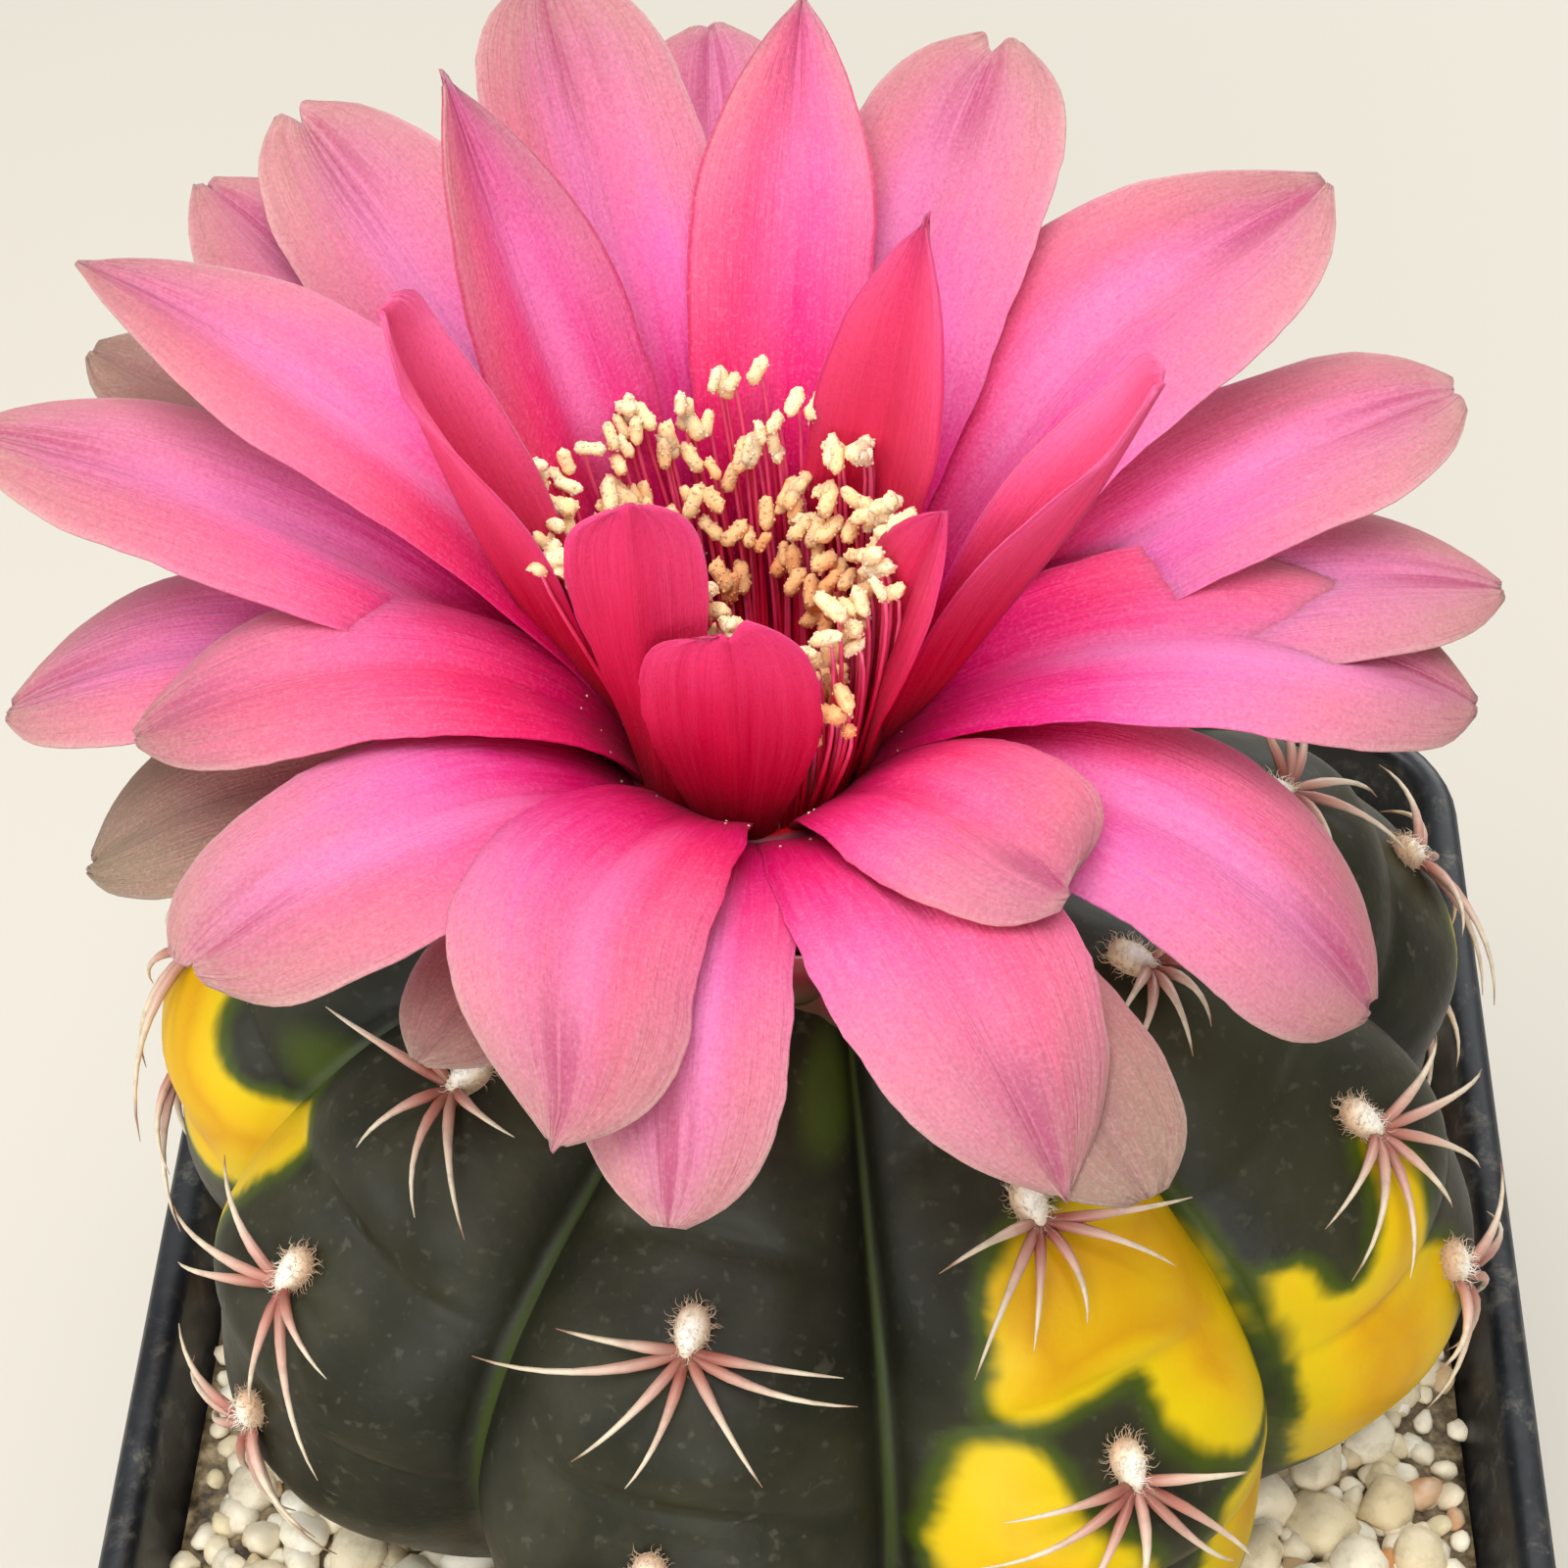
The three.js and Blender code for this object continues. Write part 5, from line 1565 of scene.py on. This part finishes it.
silky = petal_finish()
for name, layers in (("long_petals", ("outer", "middle", "upper")), ("inner_petals", ("inner",)),
                     ("green_tepals", ("sepal",))):
    group = [make_petal(i) for i, row in enumerate(PETALS) if row[0] in layers]
    print(name, len(group))
    dress(join(name, group), silky, "petal", "petals")

# %% [markdown]
# All petals grow from one fleshy ring at the mouth of the tube, dull red on its outside, and the throat
# goes down inside it, crimson and shaded. It is a profile turned round the flower's axis.

# %% The throat
# Radius and height over the throat, of the skin inside the tube's wall and then of ring and throat.
THROAT_SKIN = [(0.5, -8.4), (3.2, -8.0), (5.4, -4.6)]
THROAT_OUTSIDE = 8  # rows of both that are seen from outside
THROAT_STEPS = 64
THROAT_PROFILE = [(6.62, -3.75), (6.6, -2.9), (6.3, -2.1), (5.7, -1.4), (5.2, -0.95), (4.85, -0.85),
                  (4.6, -1.1), (4.42, -1.8), (4.3, -3.3), (3.9, -5.4), (2.6, -7.4), (0.5, -7.9)]


def throat_finish():
    f = Finish("crimson_throat", Specular_IOR_Level=0.35, Subsurface_Weight=0.2, Subsurface_Scale=0.001)
    cloud = f.noise(400, 4, 0.6)
    # The throat's own crimson, made brighter as painted light for the light that shines through the
    # petals into the shaded throat.
    colour = f.ramp(cloud, (0.3, "#C00008"), (0.55, "#DA0010"), (0.75, "#E60420"))
    dull = f.ramp(cloud, (0.3, "#6A1826"), (0.55, "#842238"), (0.75, "#963048"))
    colour = f.mix(f.number("outside"), colour, dull)
    return f.done(colour, 0.5, f.bump(cloud, 0.1, 0.5))


def make_throat():
    """The ring and its throat, closed by an outer skin a little inside the tube's wall."""
    profile = [(radius, z + THROAT[2]) for radius, z in THROAT_SKIN + THROAT_PROFILE]
    shown = [float(i < THROAT_OUTSIDE) for i in range(len(profile)) for _ in range(THROAT_STEPS)]
    return turned("flower_throat", profile, THROAT_STEPS, tuple(THROAT[:2]), {"outside": shown})


# %% [markdown]
# ## Stamens
# Some three hundred stamens stand in a hollow ring. The outer ones rise steeply along the petals and
# bend inwards at their tips. The inner ones are rooted deeper in the throat and are ever shorter, so
# that their anthers line the inside of the ring like a funnel. Each filament is a thread, and an
# anther hangs at its end.

# %% Paths of the stamens
STAMENS = 312
STAMEN_SEED = 23
STAMEN_STATIONS = 9
CLUMP = 4  # stamens whose anthers cling together
GOLDEN_SHARE = 0.61803  # of a full turn, from each clump to the next one
FRONT_PETALS = 250.0  # the azimuth of the two inner petals that press the ring in
FRONT_BREADTH = 40  # degrees
FRONT_SQUEEZE = 3.6
FRONT_RISE = 1.3
LATE_SIDE = 306.0  # the azimuth where some stamens are still short
LATE_BREADTH = 16  # degrees
RING_LEAN = np.array([-1.5, 1.1, 0.0])  # the ring's middle at its top, against its foot
TOP_RADIUS = 7.4
TOP_HEIGHT = 11.3
LOW_RADIUS = 3.9
LOW_HEIGHT = 3.2


def bezier(a, b, c, d, t):
    s = 1 - t
    return a * s ** 3 + b * 3 * s * s * t + c * 3 * s * t * t + d * t ** 3


def stamen_paths():
    """Each path with the anther's place and the way that the anther points."""
    draw = random.Random(STAMEN_SEED)
    paths, tips, aims, depth = [], [], [], []
    for k in range(STAMENS):
        clump = k // CLUMP
        azimuth = 360 * ((clump * GOLDEN_SHARE) % 1) + draw.uniform(-8, 8)
        squeeze = FRONT_SQUEEZE * bell(aside_of(azimuth, FRONT_PETALS) / FRONT_BREADTH)
        t = min(max((k / STAMENS) ** 1.25 + draw.uniform(-0.05, 0.05), 0), 1)
        foot = THROAT + direction(azimuth + draw.uniform(-5, 5)) * (4.25 - 1.1 * t)
        foot = foot + np.array([0, 0, -1.6 - 3.0 * t])
        radius = TOP_RADIUS + (LOW_RADIUS - TOP_RADIUS) * t ** 0.85 + draw.uniform(-0.4, 0.4)
        radius -= squeeze * (1 - t)
        height = TOP_HEIGHT + (LOW_HEIGHT - TOP_HEIGHT) * t ** 1.1 + draw.uniform(-0.9, 0.7)
        height += FRONT_RISE * (1 - t) * squeeze / FRONT_SQUEEZE
        late = bell(aside_of(azimuth, LATE_SIDE) / LATE_BREADTH) * draw.random()
        height *= 1 - 0.6 * late
        middle = THROAT + RING_LEAN * height / TOP_HEIGHT
        tip = middle + direction(azimuth) * radius + np.array([0, 0, height])
        swing = 1.5 - squeeze
        belly = foot + np.array([0, 0, 0.42 * height]) + direction(azimuth) * swing * (1 - t)
        bow = tip + direction(azimuth) * swing * (0.6 - 0.15 * t)
        bow = bow + np.array([0, 0, 0.5 - 0.08 * height])
        path = []
        for i in range(STAMEN_STATIONS):
            s = i / (STAMEN_STATIONS - 1)
            path.append((bezier(foot, belly, bow, tip, s), 0.12 * (1 - 0.45 * s)))
        inward = -direction(azimuth + draw.uniform(-50, 50)) * draw.uniform(0.2, 1.0)
        aim = unit(inward + np.array([0, 0, draw.uniform(-1.3, 0.5)]))
        paths.append(path)
        tips.append(tip + aim * 0.12)
        aims.append(aim)
        depth.append(max(t, 1.2 * late))
    return paths, tips, aims, depth


# %% Finishes of the stamens


def filament_finish():
    f = Finish("stamen_filament", Roughness=0.42, Subsurface_Weight=0.2, Subsurface_Scale=0.0006)
    stripe = f.noise(900, 2, 0.5)
    # The red at the filament's foot is its own colour, made brighter as painted light against the shade
    # of the throat.
    colour = f.ramp(f.number("along"), (0.0, "#CC0018"), (0.4, "#E2184C"), (0.8, "#EC5C8C"),
                    (1.0, "#F4A4B0"))
    colour = f.mix(f.between(stripe, 0.4, 0.7, 0.0, 0.3), colour, "#A0002C")
    return f.done(colour, 0.42, f.bump(stripe, 0.03, 0.4))


def pollen_finish():
    f = Finish("floury_pollen", Roughness=0.85, Specular_IOR_Level=0.15, Subsurface_Weight=0.5,
               Subsurface_Scale=0.0008, Subsurface_Radius=(1.0, 0.75, 0.4))
    crumb = f.noise(5200, 3, 0.7)
    # tone grows with an anther's depth in the ring: the cream darkens to orange as painted shade in the
    # pit, with a random part.
    tone = f.number("tone")
    colour = f.ramp(tone, (0.0, "#FFF0C0"), (0.4, "#FFDEA6"), (0.75, "#FFBA80"), (1.0, "#F48E5A"))
    colour = f.mix(f.between(crumb, 0.45, 0.7, 0.0, 0.35), colour, "#F4B27C")
    return f.done(colour, 0.85, f.bump(crumb, 0.09, 0.8))


# %% An anther, and its growth rule
ANTHER_KINDS = 5
TINT_SEED = 5


def make_anther(number):
    """A crumbly sausage 1 mm long, pinched in its middle, of some sixty faces."""
    points, rings, count = [], 8, 8
    for i in range(rings):
        t = math.pi * (i + 0.35) / (rings - 0.3)
        for j in range(count):
            a = 2 * math.pi * j / count
            p = Vector((math.sin(t) * math.cos(a), math.sin(t) * math.sin(a), math.cos(t)))
            rough = 1 + 0.24 * value_noise.noise(p * 2.9 + Vector((number * 3, 0, 0)))
            pinch = 1 - 0.25 * bell(p.z / 0.3) * abs(p.y)
            square = 1 + 0.16 * bell((abs(p.z) - 0.75) / 0.3)
            side = 0.27 * rough * pinch * square
            points.append((p.x * side, p.y * side * 1.15, p.z * 0.58 * rough))
    faces = [tuple(reversed(face)) for face in ring_faces(rings, count)]
    return mesh_object(f"anther_{number}", points, faces)


def make_anthers(tips, aims, depth):
    box = bpy.data.collections.new("anther_kinds")
    bpy.context.scene.collection.children.link(box)
    for number in range(ANTHER_KINDS):
        move_to(make_anther(number), box)
    draw = random.Random(TINT_SEED)
    # Deeper anthers get a higher tone, which the finish paints darker as shade in the pit, with a random
    # part.
    tone = [min(max(0.15 + 0.75 * t + draw.uniform(-0.2, 0.15), 0), 1) for t in depth]
    base = mesh_object("anther_places", tips, [], {"aim": aims, "tone": tone})
    g = Growth("anthers", base, pollen_finish(), Kinds=box, Smallest=0.85, Largest=1.35)
    size = g.random_size(g.given("Smallest"), g.given("Largest"))
    g.pass_on("GeometryNodeInstanceOnPoints", Instance=g.kinds("Kinds"), Pick_Instance=True,
              Rotation=g.facing("aim"), Scale=size)
    piece = g.frozen("anthers")
    for kind in list(box.objects):
        bpy.data.objects.remove(kind)
    bpy.data.collections.remove(box)
    return piece


stamen_data = stamen_paths()
filaments = threads("filaments", stamen_data[0], filament_finish(), 6)
dress(filaments, filament_finish(), "stamen", "stamens")
dress(make_anthers(*stamen_data[1:]), pollen_finish(), "stamen", "stamens")
dress(make_throat(), throat_finish(), "petal", "petals", "stamens")

# %% [markdown]
# ## The pistil
# In the middle of the ring stands a short style with six stigma lobes. The anthers all but hide it.
# Style and lobes are threads as well, thicker ones.

# %% Style and stigma
LOBES = 6


def make_pistil():
    """The style's path, and then one for each lobe."""
    foot = THROAT + np.array([0, 0, -7.6])
    top = THROAT + np.array([-0.1, 0.1, 1.9])
    paths = [[(foot + (top - foot) * s, 0.8 - 0.12 * s) for s in np.linspace(0, 1, 8)]]
    for k in range(LOBES):
        azimuth = 360 / LOBES * k + 12
        lobe = []
        for i in range(8):
            s = i / 7
            rise = np.array([0, 0, -0.3 + 1.5 * s - 0.8 * s ** 3])
            spot = top + direction(azimuth) * (0.35 + 1.5 * s ** 1.2) + rise
            lobe.append((spot, 0.36 * (1 - 0.6 * s ** 3)))
        paths.append(lobe)
    return paths


def stigma_finish():
    f = Finish("velvet_stigma", Roughness=0.7, Subsurface_Weight=0.25, Subsurface_Scale=0.0008)
    nap = f.noise(2600, 3, 0.6)
    colour = f.mix(f.number("own"), "#D8506C", "#F3E3A8")
    colour = f.mix(f.between(nap, 0.4, 0.7, 0.0, 0.4), colour, "#E7C487")
    return f.done(colour, 0.7, f.bump(nap, 0.06, 0.7))


velvet = stigma_finish()
is_lobe = [0.0] + [1.0] * LOBES
dress(threads("style_and_stigma", make_pistil(), velvet, 14, is_lobe), velvet, "stigma", "pistil")

# %% [markdown]
# ## Pollen
# Ripe anthers are floury: crumbs of pollen cover them, and some has fallen on the petals' roots. One
# growth rule scatters tiny grains over a finished piece, where a number that the piece keeps allows it.

# %% The grains
GRAIN_SEED = 13


def grains(name, source, size, per_square_metre, number, limit):
    """Grains of a radius in millimetres over a piece, where one of its numbers is below a limit."""
    host = bpy.data.objects.new(name + "_host", bpy.data.objects[source].data.copy())
    bpy.context.collection.objects.link(host)
    bpy.ops.mesh.primitive_ico_sphere_add(subdivisions=1, radius=size * MM)
    grain = bpy.context.active_object
    g = Growth(name, host, pollen_finish(), Grain=grain, Per_square_metre=per_square_metre,
               Smallest=0.6, Largest=1.4, Limit=limit)
    allowed = g.math("LESS_THAN", g.number(number), g.given("Limit"))
    spread = g.pass_on("GeometryNodeDistributePointsOnFaces", Density=g.given("Per square metre"),
                       Selection=allowed)
    spread.inputs["Seed"].default_value = GRAIN_SEED
    radius = g.random_size(g.given("Smallest"), g.given("Largest"))
    g.pass_on("GeometryNodeInstanceOnPoints", Instance=g.shape("Grain"), Scale=radius)
    piece = g.frozen(name)
    bpy.data.objects.remove(grain)
    return piece


crumbs = grains("floury_crumbs", "anthers", 0.066, 0.95e7, "tone", 2.0)
dress(crumbs, pollen_finish(), "stamen", "stamens")
fallen = grains("fallen_pollen", "long_petals", 0.055, 4.0e5, "root_top", 0.2)
dress(fallen, pollen_finish(), "stamen")
